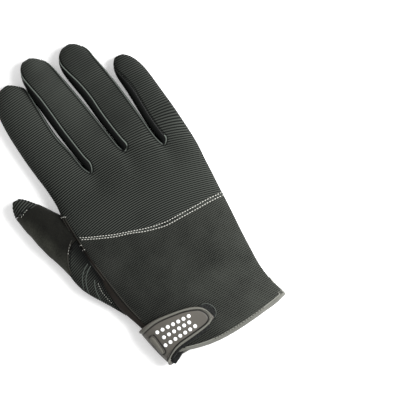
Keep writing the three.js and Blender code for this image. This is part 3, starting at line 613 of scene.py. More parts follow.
def on_back(points, table):
    """Reads a table over the back: a value for each finger, in the hand, at its root and at its tip."""
    x, y, _ = points.T / MM
    hand, root, tip = (np.interp(x, FINGERS_AT, table[part]) for part in ("hand", "root", "tip"))
    finger = root + (tip - root) * ease((y - 35) / 60)
    # In the tone table these soft patches are painted shade and light of soft folds across the knuckles; in
    # the depth table they vary the relief.
    patches = 1 + 0.1 * soft_noise(points, 35 * MM, 3) + 0.07 * soft_noise(points, 14 * MM, 17)
    return (hand + (finger - hand) * ease((y - 15) / 25)) * patches


knuckle_cloth = round_panel("knuckle_back", "knuckle_back_cloth")
split_long(knuckle_cloth, RIB_ROW, 1)
split_long(knuckle_cloth, RIB_STEP, RIB_CUTS)
points = points_of(knuckle_cloth)
rib(knuckle_cloth, on_back(points, RIB_DEPTH), on_back(points, KNIT_PAINTED_LIGHT))
back_edges = [loop for loop in rim_loops("knuckle_back", RIM_FACES_UP) if route_length(loop) > SHORT_RIM]
seam_distance(knuckle_cloth, *back_edges)
print("rib vertices:", len(points))

# %% Yarn of the ribbed knit
# The yarn colour runs from the groove colour to CREST along each rib: painted shade in the grooves, painted
# highlight on the crests.
RIB_GROOVE_SHADE = shade(2, 3, 3)
CREST = shade(58, 61, 57)
LOOP_PITCH = 1.05 * MM
FUZZ = 0.5 * MM
CLOTH_SHINE = 0.12
# The painted shade of the dip beside a seam: its distance and half its width, in mm. RIB_MIDDLE is the mean
# of the wave.
DIP_AT = 1.3
DIP_WIDTH = 0.6
RIB_MIDDLE = 0.46


def seam_dip_shade(made):
    """Paints shade on the cloth in a line beside a seam, where it dips."""
    away = (made.attribute("from_seam") - DIP_AT) / DIP_WIDTH
    return 1 - away.math("ABSOLUTE").between(1, 0) * 0.9


def rib_finish(name):
    made = Finish(name, Roughness=0.9, Specular_IOR_Level=CLOTH_SHINE)
    # Painted shade and highlight: the colour follows the rib's phase, dark in each groove and light on each
    # crest.
    crest_highlight = made.attribute("rib_phase").wave(1).between(0.1, 0.9)
    share = made.attribute("rib_share")
    x, y, _ = made.axes()
    yarn = (x + y * 0.3).wave(1 / LOOP_PITCH)
    fuzz = made.noise(FUZZ, 2)
    lit = (RIB_MIDDLE + (crest_highlight - RIB_MIDDLE) * share) * (0.72 + yarn * 0.2 + fuzz * 0.3)
    colour = made.blend(lit * seam_dip_shade(made) * made.attribute("tone"), RIB_GROOVE_SHADE, CREST)
    return made.dress(colour, yarn * 0.6 + fuzz, 0.1 * MM)


rib_knit = rib_finish("rib_knit")
finish_piece(knuckle_cloth, "rib_knit", rib_knit, "knuckle_back")

# %% [markdown]
# ## The plain knit of the wrist
# Below the seam the back is a finer, smoother knit: a twill whose wales are only about 1.4 mm apart. That
# is too fine for relief of its own, so the panel gets soft undulations in its shape, and the wales live
# in the bump and colour of its material.

# %% Wrist panel
# Height, length and seed of the undulations. No point goes below TABLE, which the glove lies on.
WRIST_SWELL = (0.3 * MM, 38 * MM, 11)
TABLE = 0.03 * MM
WRIST_ROW = 0.9 * MM


def on_table(points):
    points[:, 2] = np.maximum(points[:, 2], TABLE)
    return points


def swell(piece, *waves):
    """Makes a cloth undulate. Each wave is a height, a length and a seed."""
    points = points_of(piece)
    heights = sum(height * soft_noise(points, length, seed) for height, length, seed in waves)
    move_points(piece, on_table(pushed(piece, points, heights)))


wrist_cloth = round_panel("wrist_back", "wrist_back_cloth")
split_long(wrist_cloth, WRIST_ROW, 1)
x, y, _ = points_of(wrist_cloth).T / MM
# Painted light: the wrist knit is made lighter towards the little finger side, where the key lamp falls, and
# lighter in its lower corner.
little_side_light = ease((x - 12) / 40)
low_corner_light = ease((-62 - y) / 35) * ease((x + 2) / 22)
write_attribute(wrist_cloth, "tone", 1 + 0.4 * little_side_light + 0.65 * low_corner_light)
swell(wrist_cloth, WRIST_SWELL)
print("wrist vertices:", len(x))

# %% Twill of the plain knit
WALE_PITCH = 1.37 * MM
KNIT_DARK = shade(3, 4, 3)
KNIT_LIGHT = shade(55, 57, 53)


def plain_finish():
    made = Finish("plain_knit", Roughness=0.9, Specular_IOR_Level=CLOTH_SHINE)
    x, y, _ = made.axes()
    rows = (y + x * 0.02).wave(1 / WALE_PITCH)
    rising = (y * 0.8 - x * 0.6).wave(1 / (1.2 * WALE_PITCH))
    weave = rows * 0.75 + rising * 0.25
    fuzz = made.noise(FUZZ, 2)
    patchy = made.noise(22 * MM, 3)
    lit = (weave - 0.5) * 0.9 + (fuzz - 0.5) * 0.7 + (patchy - 0.5) * 0.7 + 0.4
    # The tone attribute scales the colour: painted light.
    colour = made.blend(lit * made.attribute("tone"), KNIT_DARK, KNIT_LIGHT)
    return made.dress(colour, weave + fuzz * 0.6, 0.12 * MM)


plain_knit = plain_finish()
finish_piece(wrist_cloth, "plain_knit", plain_knit, "wrist_back")

# %% [markdown]
# ## Suede
# Palm, finger fronts and thumb are synthetic suede. It has no pattern, but a nap: fine fibres that lie
# this way and that, so that the brown black breaks up into soft patches, and a faint sheen at the rim.

# %% Suede finish
SUEDE_DARK = shade(24, 21, 18)
SUEDE_LIGHT = shade(62, 56, 50)
# The thumb's upper side has its own wide range of tones, so that the lit attribute can paint the hand's
# shadow on it.
THUMB_DARK = shade(3, 3, 2)
THUMB_LIGHT = shade(86, 87, 78)


def suede_finish(name, dark, light, below=None):
    """Suede in two tones, darkened where the lit attribute is low: painted shade, where a piece sets it. A
    pair of tones for its underside can be given too; there the lit attribute is not used.
    """
    made = Finish(name, Roughness=0.95, Specular_IOR_Level=CLOTH_SHINE, Sheen_Weight=0.05)
    nap = made.noise(0.7 * MM, 3)
    brushed = made.noise(7 * MM, 3, (1, 0.6, 1))
    broad = made.noise(35 * MM, 1)
    lit = (nap - 0.5) * 0.9 + (brushed - 0.5) * 0.7 + (broad - 0.5) * 0.4 + 0.42
    colour = made.blend(lit * made.attribute("lit"), dark, light)
    if below:
        colour = made.blend(made.attribute("underneath"), colour, made.blend(lit, *below))
    return made.dress(colour, nap + brushed * 0.8, 0.15 * MM)


suede = suede_finish("suede", SUEDE_DARK, SUEDE_LIGHT)
thumb_shadowed_suede = suede_finish("thumb_suede", THUMB_DARK, THUMB_LIGHT, (SUEDE_DARK, SUEDE_LIGHT))
print("suede materials:", suede.material.name, thumb_shadowed_suede.material.name)

# %% [markdown]
# ## The palm
# One suede panel makes the palm and the fronts of the fingers, and it wraps a little over the thumb-side
# edge of the hand, where the photo shows it as a narrow strip beside the knit.

# %% Palm panel
PALM_SWELL = (0.25 * MM, 30 * MM, 5)

palm_cloth = round_panel("palm", "palm_suede")
x, y, z = points_of(palm_cloth).T / MM
# Painted shade: the palm's suede is darkened where it wraps over the thumb-side edge beside the thumb, and
# less on the index finger's side; the lit attribute carries it.
wrapped_edge_shade = ease((-27 - x) / 4) * ease((z - 2) / 2)
index_side_shade = ease((-38 - x) / 4) * ease((y + 30) / 10)
write_attribute(palm_cloth, "lit", 1 - 0.6 * wrapped_edge_shade - 0.3 * index_side_shade)
swell(palm_cloth, PALM_SWELL)
finish_piece(palm_cloth, "suede", suede, "palm")

# %% [markdown]
# ## Side strips between the fingers
# The strip between two fingers is a smooth stretch fabric, nearly black, with a satin shine. It runs down
# one finger, round the bottom of the slot and up the next. Its shine is partly the shader's gloss and
# partly painted sheen: lighter streaks in its colour.

# %% Side strips
STRIPS = ("index_middle", "middle_ring", "ring_pinky")
STRIP_SWELL = 0.4 * MM
STRIP_BLACK = shade(2, 3, 3)
STRIP_PAINTED_SHEEN = shade(9, 12, 11)


def strip_finish():
    made = Finish("side_strip", Roughness=0.4, Specular_IOR_Level=0.28)
    fuzz = made.noise(0.6 * MM, 2)
    soft = made.noise(9 * MM, 2, (1, 0.3, 1))
    # Painted sheen: lighter streaks of colour along the strip, beside the shader's own gloss.
    colour = made.blend(soft * 0.7 + fuzz * 0.3, STRIP_BLACK, STRIP_PAINTED_SHEEN)
    return made.dress(colour, fuzz + soft * 3, 0.1 * MM)


side_strip = strip_finish()
for pair in STRIPS:
    strip = round_panel(f"fourchette_{pair}", f"side_strip_{pair}")
    points = points_of(strip)
    below_tip = np.array([from_tip(x, y) for x, y in points[:, :2] / MM])
    heights = STRIP_SWELL * ease((below_tip - 3) / 12)
    move_points(strip, on_table(pushed(strip, points, heights)))
    finish_piece(strip, "side_strip", side_strip, f"fourchette_{pair}")

# %% [markdown]
# ## The thumb
# The thumb is a suede tube with a ribbed cap, and a ribbed wedge joins it to the back of the hand, so
# that it can swing out. Their ribs were cut in another direction than those of the back, so each piece
# gets its own phase: straight ribs for the wedge, arched ones for the cap.

# %% Thumb pieces
WEDGE_SLOPE = 0.27
CAP_SLOPE = 0.35
CAP_PITCH = 1.9 * MM
CAP_MIDDLE = (-62.5 * MM, 35 * MM)
CAP_BOW = 14
THUMB_SWELL = [(0.3 * MM, 22 * MM, 8), (0.12 * MM, 6 * MM, 9)]
THUMB_RIBS = 1.4
THUMB_STEP = 0.7 * MM
CAP_TONE = 0.85


def wedge_phase(points):
    return (points[:, 1] - WEDGE_SLOPE * points[:, 0]) / RIB_PITCH


def cap_phase(points):
    off = points[:, 0] - CAP_MIDDLE[0]
    return (points[:, 1] - CAP_SLOPE * points[:, 0] + CAP_BOW * off ** 2) / CAP_PITCH


for node in ("thumb_body", "thumb_root_front"):
    tube = round_panel(node, f"{node}_suede", levels=3 if node == "thumb_body" else 2)
    x, y, _ = points_of(tube).T / MM
    # Painted shadow: the thumb's upper side grows dark towards the hand, as the hand's shadow; its underside
    # keeps the palm's suede tones.
    out_of_hand_shadow = ease((x + 43 + (y + 30) * 0.28) / -18)
    write_attribute(tube, "lit", 0.12 + 0.88 * out_of_hand_shadow)
    swell(tube, *THUMB_SWELL)
    write_attribute(tube, "underneath", ease(-normals_of(tube)[:, 2] / 0.4))
    finish_piece(tube, "suede", thumb_shadowed_suede, node)
for node, phase_of in (("thumb_gusset", wedge_phase), ("thumb_tip", cap_phase)):
    knit = round_panel(node, f"{node}_cloth", levels=3)
    split_long(knit, THUMB_STEP, 2)
    x, y, _ = points_of(knit).T / MM
    # Painted shadow: the wedge's knit is darkened near the hand, less so towards its lower end.
    from_hand = -44.5 - 0.133 * y - x
    hand_shadow_tone = 0.1 + 0.75 * np.maximum(ease((from_hand - 1) / 11), 0.85 * ease((-42 - y) / 14))
    tone = hand_shadow_tone if node == "thumb_gusset" else np.full(len(x), CAP_TONE)
    rib(knit, np.full(len(x), THUMB_RIBS), tone, phase_of)
    seam_distance(knit, *rim_loops(node)[:1])
    finish_piece(knit, "rib_knit", rib_knit, node)

# %% [markdown]
# ## Tools for cords and lines
# Many details of a sewn glove follow a line: welts, folds, piping, stitches. We measure such lines on
# the page, in millimetres, and drop them onto the cloth with rays from above or below.

# %% Lines on the cloth
PAGE_ORIGIN = Vector((14.26, -120.87)) * MM
DOWN = Vector((0, 0, -1))
RAY_START = 100 * MM
DRAPE_PITCH = 0.8 * MM
PAGE_MARKS = 0.3 * MM


def on_page(route):
    """Seam points as measured on the glove, from the photo's own zero, in metres of the frame."""
    return [(PAGE_ORIGIN.x + x * MM, PAGE_ORIGIN.y + y * MM) for x, y in route]


def skin_of(*pieces):
    """One search tree over several pieces."""
    verts, faces = [], []
    for piece in pieces:
        start = len(verts)
        verts += [v.co.copy() for v in piece.data.vertices]
        faces += [[start + i for i in face.vertices] for face in piece.data.polygons]
    return BVHTree.FromPolygons(verts, faces)


def draped(route, skin, lift=0.0):
    """Points of a page route, laid on the skin from above and lifted off it by a height."""
    laid = []
    for x, y in along(on_page(route), DRAPE_PITCH):
        spot = skin.ray_cast(Vector((x, y, RAY_START)), DOWN)[0]
        if spot is not None:
            laid.append(spot - DOWN * lift)
    return laid


def sweep(name, routes, radius, slot, finish, thickness=None):
    """A round cord along each route, as one piece. The thickness is a share of the radius at a place."""
    curve = bpy.data.curves.new(name, "CURVE")
    curve.dimensions = "3D"
    curve.bevel_depth = radius
    curve.bevel_resolution = 2
    curve.use_fill_caps = True
    for route in routes:
        spline = curve.splines.new("POLY")
        spline.points.add(len(route) - 1)
        for point, place in zip(spline.points, route):
            point.co = (*place, 1)
            point.radius = thickness(place) if thickness else 1
    cord = bpy.data.objects.new(name, curve)
    bpy.context.scene.collection.objects.link(cord)
    take(cord)
    bpy.ops.object.convert(target="MESH")
    return finish_piece(cord, slot, finish)


def page_distance(points, route):
    """How far points lie from a page route, seen from above, in millimetres."""
    tree = tree_of([(x, y, 0) for x, y in along(on_page(route), PAGE_MARKS)])
    return np.array([tree.find((x, y, 0))[2] for x, y, _ in points]) / MM


back_skin = skin_of(knuckle_cloth, wrist_cloth)
print("skin ready")

# %% [markdown]
# ## Welts beside the strips
# Where the ribbed back meets a side strip, both edges are turned in and sewn. That leaves a thin raised
# cord of knit round every finger slot. It runs along the edge that the back panel itself ends on.

# %% Welts
WELT = 0.5 * MM
WELT_LIFT = Vector((0, 0, 0.25 * MM))
WELT_REACH = 2.5 * MM
WELT_GAP = 4 * MM
WELT_PITCH = 0.7 * MM
WELT_POINTS = 8
STRIP_MARKS = 0.5 * MM
# How far below the tips the welts end, and over which length they thin out, in mm.
WELT_END = 4
WELT_TAPER = 8


def runs_near(loop, others, reach):
    """The stretches of a chain of points that lie close to other points."""
    tree = tree_of(others)
    runs, run = [], []
    for place in loop:
        if tree.find(place)[2] < reach and from_tip(place[0] / MM, place[1] / MM) > WELT_END:
            run.append(place)
        elif run:
            runs.append(run)
            run = []
    return [run for run in [*runs, run] if len(run) > WELT_POINTS]


def joined(runs, gap):
    """Runs whose ends lie close to each other become one."""
    runs = [list(run) for run in runs]
    for i, first in enumerate(runs):
        for other in runs[i + 1:]:
            pairs = ((first, other), (first, other[::-1]), (other, first), (first[::-1], other))
            for ahead, behind in pairs:
                if np.linalg.norm(ahead[-1] - behind[0]) < gap:
                    rest = [run for run in runs if run is not first and run is not other]
                    return joined([*rest, ahead + behind], gap)
    return runs


def welt_thickness(place):
    """The cord thins out towards the fingertips."""
    from_end = from_tip(place[0] / MM, place[1] / MM) - WELT_END
    return float(0.15 + 0.85 * ease(from_end / WELT_TAPER))


strip_rims = [rim for pair in STRIPS for rim in rim_loops(f"fourchette_{pair}")[:2]]
strip_edges = np.vstack([along(rim, STRIP_MARKS) for rim in strip_rims])
# The cord is the same knit, but its light colour is a painted highlight along its ridge.
welt_knit = Finish("welt_knit", Roughness=0.85, Specular_IOR_Level=0.2)
fuzz = welt_knit.noise(0.8 * MM, 2)
lit = welt_knit.attribute("tone") * (fuzz * 0.6 + 0.7)
welt_knit.feed("Base Color", welt_knit.blend(lit, RIB_GROOVE_SHADE, shade(96, 103, 97)))
back_routes = [along(loop, WELT_PITCH) for loop in back_edges]
welt_runs = [run for route in back_routes for run in runs_near(route, strip_edges, WELT_REACH)]
welt_runs = joined(welt_runs, WELT_GAP)
lifted = [[Vector(place) + WELT_LIFT for place in run] for run in welt_runs]
welts = sweep("slot_welts", lifted, WELT, "rib_knit", welt_knit, welt_thickness)
strip_tree = tree_of(strip_edges)
points = points_of(welts)
to_strip = np.array([strip_tree.find(point)[0].x - point[0] for point in points]) / MM
# Painted shade: the cord is dark where its strip lies on its +x side and light where the strip lies on its
# other side.
write_attribute(welts, "tone", 0.16 + 0.74 * ease(0.5 - to_strip / 0.8))
print("welts:", len(welt_runs))

# %% [markdown]
# ## Seam roll, strip ridges and thumb folds
# Between the two stitch rows of the back the cloth stands up as a flat roll. The suede strip on the
# thumb side has two sewn ridges, and the ribbed wedge lies in folds at the thumb's root.

# %% Rolls, ridges and folds
ROLL = 0.85 * MM
ROLL_SINKS = 0.55 * MM
RIDGE = 0.34 * MM
PIPING = 0.36 * MM
FOLD = 0.4 * MM
FOLD_SINKS = 0.1 * MM
SEAM_MIDDLE = [(-53, 114.6), (-46, 110.5), (-40, 107.5), (-30, 102.6), (-20, 98.7), (-10, 94.4), (0, 91.2),
               (10, 89.5), (20, 88.8), (30, 88), (40, 87.3), (51.4, 85.9)]
RIDGES = [[(-55.2, 137), (-56.2, 120), (-56.5, 110), (-56.3, 100), (-55.6, 92), (-54.5, 80)],
          [(-53.9, 133), (-54.3, 118), (-54.3, 106), (-54, 95), (-53.2, 85), (-52, 70), (-50.4, 55),
           (-48, 42)]]
FOLDS = [[(-57, 94), (-61.5, 91.5), (-65.5, 87.5), (-68, 82), (-69, 77)],
         [(-58, 96.5), (-63, 93.8), (-67.5, 89), (-70.3, 83)],
         [(-60.3, 84), (-62.5, 80), (-64, 75), (-64.5, 69)]]
THUMB_SEAM = [(-58.5, 117), (-62, 114.5), (-66, 110.5), (-69, 106), (-71, 101), (-72.3, 96.5)]

roll_knit = Finish("roll_knit", Roughness=0.9, Specular_IOR_Level=CLOTH_SHINE)
fuzz = roll_knit.noise(0.7 * MM, 2)
roll_knit.feed("Base Color", roll_knit.blend(fuzz, shade(26, 28, 26), shade(66, 69, 65)))
sweep("back_seam_roll", [draped(SEAM_MIDDLE, back_skin, -ROLL_SINKS)], ROLL, "rib_knit", roll_knit)
glove_skin = skin_of(knuckle_cloth, wrist_cloth, palm_cloth)
ridge_suede = one_tone("ridge_suede", shade(48, 47, 43), 0.9, CLOTH_SHINE)
ridges = [draped(route, glove_skin) for route in RIDGES]
sweep("thumb_side_ridges", ridges, RIDGE, "suede", ridge_suede)
thumb_pieces = ("thumb_gusset_cloth", "thumb_body_suede", "thumb_tip_cloth")
thumb_skin = skin_of(*[bpy.data.objects[name] for name in thumb_pieces])
fold_knit = one_tone("fold_knit", shade(66, 71, 67), 0.9, CLOTH_SHINE)
folds = [draped(route, thumb_skin, -FOLD_SINKS) for route in FOLDS]
sweep("wedge_folds", folds, FOLD, "rib_knit", fold_knit)
sweep("thumb_seam_piping", [draped(THUMB_SEAM, thumb_skin)], PIPING, "suede", ridge_suede)

# %% [markdown]
# ## The cuff tape
# A grey woven tape is folded round the mouth of the glove and sewn through. Its upper edge lies on the
# knit as a thin lighter line, which a cord along the wrist panel's lower edge makes.

# %% Cuff tape
TAPE_DARK = shade(76, 77, 72)
TAPE_LIGHT = shade(122, 122, 116)
TAPE_YARN = 0.8 * MM
HEM = 0.45 * MM
HEM_PITCH = 0.7 * MM
HEM_BELOW = -104 * MM
HEM_ACROSS = (-18 * MM, 63.5 * MM)


def tape_finish(name, dark, light):
    made = Finish(name, Roughness=0.8, Specular_IOR_Level=0.2)
    x, y, _ = made.axes()
    weave = (x + y).wave(1 / TAPE_YARN) * 0.5 + (x - y).wave(1 / TAPE_YARN) * 0.5
    soft = made.noise(12 * MM, 2)
    return made.dress(made.blend(weave * 0.4 + soft * 0.6, dark, light), weave, 0.1 * MM)


cuff_tape = tape_finish("cuff_tape", TAPE_DARK, TAPE_LIGHT)
binding = round_panel("cuff_binding", "cuff_tape_band", crease=0.3)
finish_piece(binding, "cuff_tape", cuff_tape, "cuff_binding")
tape_edge = tape_finish("tape_edge", shade(104, 105, 99), shade(140, 140, 133))
wrist_rim = along(rim_loops("wrist_back")[0], HEM_PITCH)
hem = [place for place in wrist_rim if place[1] < HEM_BELOW and HEM_ACROSS[0] < place[0] < HEM_ACROSS[1]]
hem.sort(key=lambda place: place[0])
hem_cord = sweep("cuff_tape_edge", [hem], HEM, "cuff_tape", tape_edge)

# %% [markdown]
# ## The wrist closure
# A moulded rubber tab closes the wrist. Its border is stepped: an outer band, a light raised rim and a
# sunk groove round the flat field. The distance from the border, kept as an attribute, gives both the
# relief and the tones. At its root is a grip bar, and rows of white domes stand on the field.

# %% Tab
RUBBER_DARK = shade(74, 71, 66)
RUBBER_LIGHT = shade(90, 87, 81)
RIM_LIGHT = shade(100, 100, 93)
# The dark of the tab's groove, and of the line round the grip bar, is painted shade in these recesses.
TAB_GROOVE_SHADE = shade(24, 23, 21)
GROOVE_LINE = [(-54, 31.5), (-50, 32.5), (-45, 33.3), (-40, 33.6), (-35, 33.2), (-30, 32.4), (-25, 31.4),
               (-20, 30.3), (-15, 28.4), (-10, 25.9), (-8, 24), (-6.5, 21.3), (-6, 18.5), (-6.8, 16.2),
               (-9, 14.8), (-12, 14.1), (-20, 13.6), (-28, 13.3), (-33, 13.1), (-38, 12), (-42, 10.3),
               (-46, 8), (-48, 6.9)]
RIM_LINE = [(-54, 33), (-50, 33.9), (-45, 34.7), (-40, 35), (-35, 34.6), (-30, 33.8), (-25, 32.8),
            (-20, 31.6), (-15, 29.9), (-10, 27.4), (-7, 25), (-5, 21.8), (-4.4, 18.2), (-5.4, 15.2),
            (-8, 13.6), (-12, 12.9), (-20, 12.4), (-28, 12.1), (-33, 11.9), (-38, 10.8), (-42, 9),
            (-46, 6.6), (-48, 5.4)]
BAR_LINE = [(-49.9, 12.6), (-50.4, 20), (-50, 27.5), (-48.6, 28.2), (-46, 27.2), (-45.4, 20), (-45.2, 13.6),
            (-47, 12), (-49.9, 12.6)]
# Each line with the height of its relief and its width, in mm.
TAB_LINES = {
    "from_rim": (RIM_LINE, 0.3, 0.8),
    "from_groove": (GROOVE_LINE, -0.35, 0.5),
    "from_bar": (BAR_LINE, -0.25, 0.5),
}


def rubber_finish():
    made = Finish("tab_rubber", Roughness=0.55, Specular_IOR_Level=0.3)
    grain = made.noise(0.4 * MM, 2)
    soft = made.noise(10 * MM, 2)
    field = made.blend(grain * 0.4 + soft * 0.6, RUBBER_DARK, RUBBER_LIGHT)
    rimmed = made.blend(made.attribute("from_rim").between(1.0, 0.3), field, RIM_LIGHT)
    # Painted shade in the groove and round the grip bar.
    lined = made.blend(made.attribute("from_groove").between(0.75, 0.2), rimmed, TAB_GROOVE_SHADE)
    colour = made.blend(made.attribute("from_bar").between(0.75, 0.2), lined, TAB_GROOVE_SHADE)
    return made.dress(colour, grain, 0.04 * MM)


rubber = rubber_finish()
tab = round_panel("closure_tab", "closure_tab_rubber", levels=3, crease=0.5)
points = points_of(tab)
relief = np.zeros(len(points))
for name, (line, height, width) in TAB_LINES.items():
    away = page_distance(points, line)
    write_attribute(tab, name, away)
    relief += height * MM * np.exp(-(away / width) ** 2)
upper = normals_of(tab)[:, 2] > 0.2
move_points(tab, pushed(tab, points, relief * upper))
finish_piece(tab, "tab_rubber", rubber, "closure_tab")
bar = round_panel("grip_bar", "grip_bar_rubber", levels=2, crease=0.4)
finish_piece(bar, "tab_rubber", one_tone("bar_rubber", shade(96, 94, 87), 0.6, 0.3), "grip_bar")

# %% Domes
DOME_STRETCH = np.array([1.12, 1.12, 1.3])

dome_nodes = sorted(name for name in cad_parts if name.startswith("tab_dot_"))
domes = [copy_of(node, f"dome_{node}") for node in dome_nodes]
for dome in domes:
    middle = points_of(dome).mean(axis=0)
    move_points(dome, middle + (points_of(dome) - middle) * DOME_STRETCH)
dome_row = join_into(domes[0], domes)
dome_row.name = "tab_domes"
crease_rim(dome_row, 0.7)
apply_modifier(dome_row, "SUBSURF", levels=2, render_levels=2)
# The domes glow a little beyond their white: painted light.
glowing_dome_white = Finish("glowing_dome_white", Base_Color=shade(250, 250, 250), Roughness=0.35,
                    Emission_Color=(1, 1, 1), Emission_Strength=0.12)
finish_piece(dome_row, "dot_print", glowing_dome_white, *dome_nodes)

# %% [markdown]
# ## Hook and loop tape
# Black hook tape is sewn under the tab and shows below its lower edge. It grips a rounded patch of loop
# tape on the wrist, of which only the end looks out. A loose end of black webbing sticks out at the root.

# %% Tapes
BLACK = shade(8, 9, 9)
# Painted glints: tufts of the black tapes are lighter in colour, as if they caught the light.
TAPE_PAINTED_GLINT = shade(38, 42, 40)
WEBBING = [(-46.8, 4.4), (-44.3, 1.3), (-40, 3), (-36.2, 4.9), (-34.6, 6), (-37.2, 8.9), (-44, 8.2)]
WEBBING_UNDERSIDE = 6.4 * MM
WEBBING_TOP = 7.8 * MM
HOOKS_LOW_EDGE = [(-44, 7.5), (-38, 9), (-26, 10.3), (-15, 10.9), (-8, 11.9)]
HOOKS_REACH = 1.3 * MM
HOOK_TUFTS = 0.08 * MM
LOOP_EDGE = 0.28 * MM
LOOP_TUFTS = (0.15 * MM, 1.8 * MM, 6)
PATCH_EDGE = [(-6, 27.6), (-3, 26.8), (-0.6, 24.8), (1, 21.5), (1, 18.4), (-0.3, 16), (-2.4, 14.4)]


def black_tape(name, size, depth):
    made = Finish(name, Roughness=0.7, Specular_IOR_Level=0.25)
    tufts = made.noise(size, 3)
    # Painted glints on the tufts.
    return made.dress(made.blend(tufts.between(0.45, 0.75), BLACK, TAPE_PAINTED_GLINT), tufts, depth)


hook_black = black_tape("hook_tape", 0.7 * MM, 0.3 * MM)
loop_black = black_tape("loop_tape", 0.9 * MM, 0.4 * MM)
hooks = round_panel("hook_pad", "hook_tape_pad", levels=3, crease=0.6)
points = points_of(hooks)
points[:, 1] -= HOOKS_REACH * np.clip(1.6 - page_distance(points, HOOKS_LOW_EDGE), 0, 1)
move_points(hooks, pushed(hooks, points, HOOK_TUFTS * soft_noise(points, 1.5 * MM, 4)))
finish_piece(hooks, "hook_tape", hook_black, "hook_pad")
loops = round_panel("loop_patch", "loop_tape_patch", levels=3, crease=0.6)
swell(loops, LOOP_TUFTS)
finish_piece(loops, "loop_tape", loop_black, "loop_patch")
loop_edge = one_tone("loop_edge", shade(70, 74, 70), 0.6, 0.3)
sweep("loop_patch_edge", [draped(PATCH_EDGE, skin_of(loops))], LOOP_EDGE, "loop_tape", loop_edge)

corners = on_page(WEBBING)
ring = [Vector((x, y, z)) for z in (WEBBING_UNDERSIDE, WEBBING_TOP) for x, y in corners]
count = len(corners)
ends = [tuple(range(count))[::-1], tuple(range(count, 2 * count))]
sides = [(i, (i + 1) % count, count + (i + 1) % count, count + i) for i in range(count)]
webbing = new_piece("webbing_end", ring, [*ends, *sides])
apply_modifier(webbing, "BEVEL", width=0.3 * MM, segments=2)
finish_piece(webbing, "hook_tape", hook_black, corners=40)

# %% [markdown]
# ## Stitches
# White thread holds the seams. A stitch is a short soft capsule. It is modelled once, and laid along
# each seam at a fixed pitch: a ray finds the cloth under every place, and the stitch lies on it.

# %% One stitch, and seams of them
STITCH_LONG = 1.55 * MM
STITCH_THICK = 0.62 * MM
STITCH_PITCH = 2.05 * MM
STITCH_PRESSED = 0.72

deselect_all()
bpy.ops.mesh.primitive_uv_sphere_add(segments=6, ring_count=5, radius=0.5)
pattern = bpy.context.active_object
pattern.rotation_euler = (0, math.radians(90), 0)
bpy.ops.object.transform_apply(location=False, rotation=True, scale=False)
stitch_points = points_of(pattern) * np.array([STITCH_LONG, STITCH_THICK, STITCH_THICK * STITCH_PRESSED])
stitch_faces = [tuple(face.vertices) for face in pattern.data.polygons]
bpy.data.objects.remove(pattern)
print("faces in a stitch:", len(stitch_faces))


def sew(name, routes, skin, finish, way=DOWN, pitch=STITCH_PITCH, size=1.0, sink=0.15):
    """Lays stitches along routes on a skin, found by rays that go one way, and joins them into one piece."""
    verts, faces = [], []
    for route in routes:
        places = along(route, pitch)
        for here, there in zip(places[:-1], places[1:]):
            middle = (here + there) / 2
            start = Vector((*middle[:2], -RAY_START * way.z))
            spot, normal, _, _ = skin.ray_cast(start, way)
            if spot is None:
                continue
            if normal.dot(way) > 0:
                normal = -normal
            ahead = Vector((*(there - here)[:2], 0))
            ahead = (ahead - normal * ahead.dot(normal)).normalized()
            side = normal.cross(ahead)
            base = spot + normal * STITCH_THICK * size * (0.5 * STITCH_PRESSED - sink)
            begin = len(verts)
            for x, y, z in stitch_points * size:
                verts.append(base + ahead * x + side * y + normal * z)
            faces += [tuple(begin + i for i in face) for face in stitch_faces]
    return finish_piece(new_piece(name, verts, faces), "thread", finish)


thread_white = Finish("thread_white", Base_Color=shade(192, 192, 184), Roughness=0.8)
UPPER_ROW = [(-53, 115.6), (-46, 111.5), (-40, 108.5), (-30, 103.5), (-20, 99.5), (-10, 95.5), (-4, 93.5),
             (0, 92.5), (5, 91.3), (10, 90.7), (20, 90), (30, 89.2), (40, 88.5), (51, 87)]
LOWER_ROW = [(-52.6, 113.6), (-40, 106.6), (-30, 101.8), (-20, 98), (-10, 93.4), (0, 90), (5, 88.8),
             (10, 88.3), (20, 87.6), (30, 86.8), (40, 86.2), (51.4, 84.8)]
sew("back_seam_stitches", [on_page(UPPER_ROW), on_page(LOWER_ROW)], back_skin, thread_white)

# %% [markdown]
# ## Small marks of thread
# The seams of the thumb side show their thread only where it surfaces: two bars and two marks on the
# suede strip, a short row across the thumb's tip, some stitches on its curved seam and in the fold of
# the wedge. Dark stitches hold the cuff tape.

# %% Small stitches
EDGE_MARKS = [[(-56.2, 134.6), (-52.4, 133.2)], [(-57.6, 111), (-53.8, 110.1)], [(-57.5, 107), (-53.7, 106)]]
# Rows on the thumb, each with its pitch in mm and the size of its stitches.
THUMB_ROWS = {
    "thumb_tip_stitches": ([(-80.6, 150.4), (-77, 151.5), (-73, 153)], 1.7, 0.6),
    "thumb_curve_stitches": ([(-60.5, 115.4), (-63, 113.4), (-66.6, 109.4)], 1.8, 0.7),
    "wedge_stitches": ([(-59.2, 81), (-60.4, 76), (-60.2, 70), (-59, 63)], 1.8, 0.55),
}
TICKS_AT = (3 * MM, 46 * MM)

thread_dark = one_tone("thread_dark", shade(30, 29, 26), 0.9, 0.1)
marks = [on_page(route) for route in EDGE_MARKS]
sew("edge_marks", marks, glove_skin, thread_white, pitch=1.3 * MM, size=0.95, sink=-0.6)
for name, (row, pitch, size) in THUMB_ROWS.items():
    sew(name, [on_page(row)], thumb_skin, thread_white, pitch=pitch * MM, size=size)
ticks = [tuple(place[:2]) for place in hem if TICKS_AT[0] < place[0] < TICKS_AT[1]]
sew("cuff_stitches", [ticks], skin_of(hem_cord), thread_dark, pitch=2.2 * MM, size=0.75, sink=-0.1)

# %% [markdown]
# ## The palm side
# The palm rests on four flat pads of the same suede, sewn on where a tool's handle rubs. We turn their
# edges soft with a bevel.

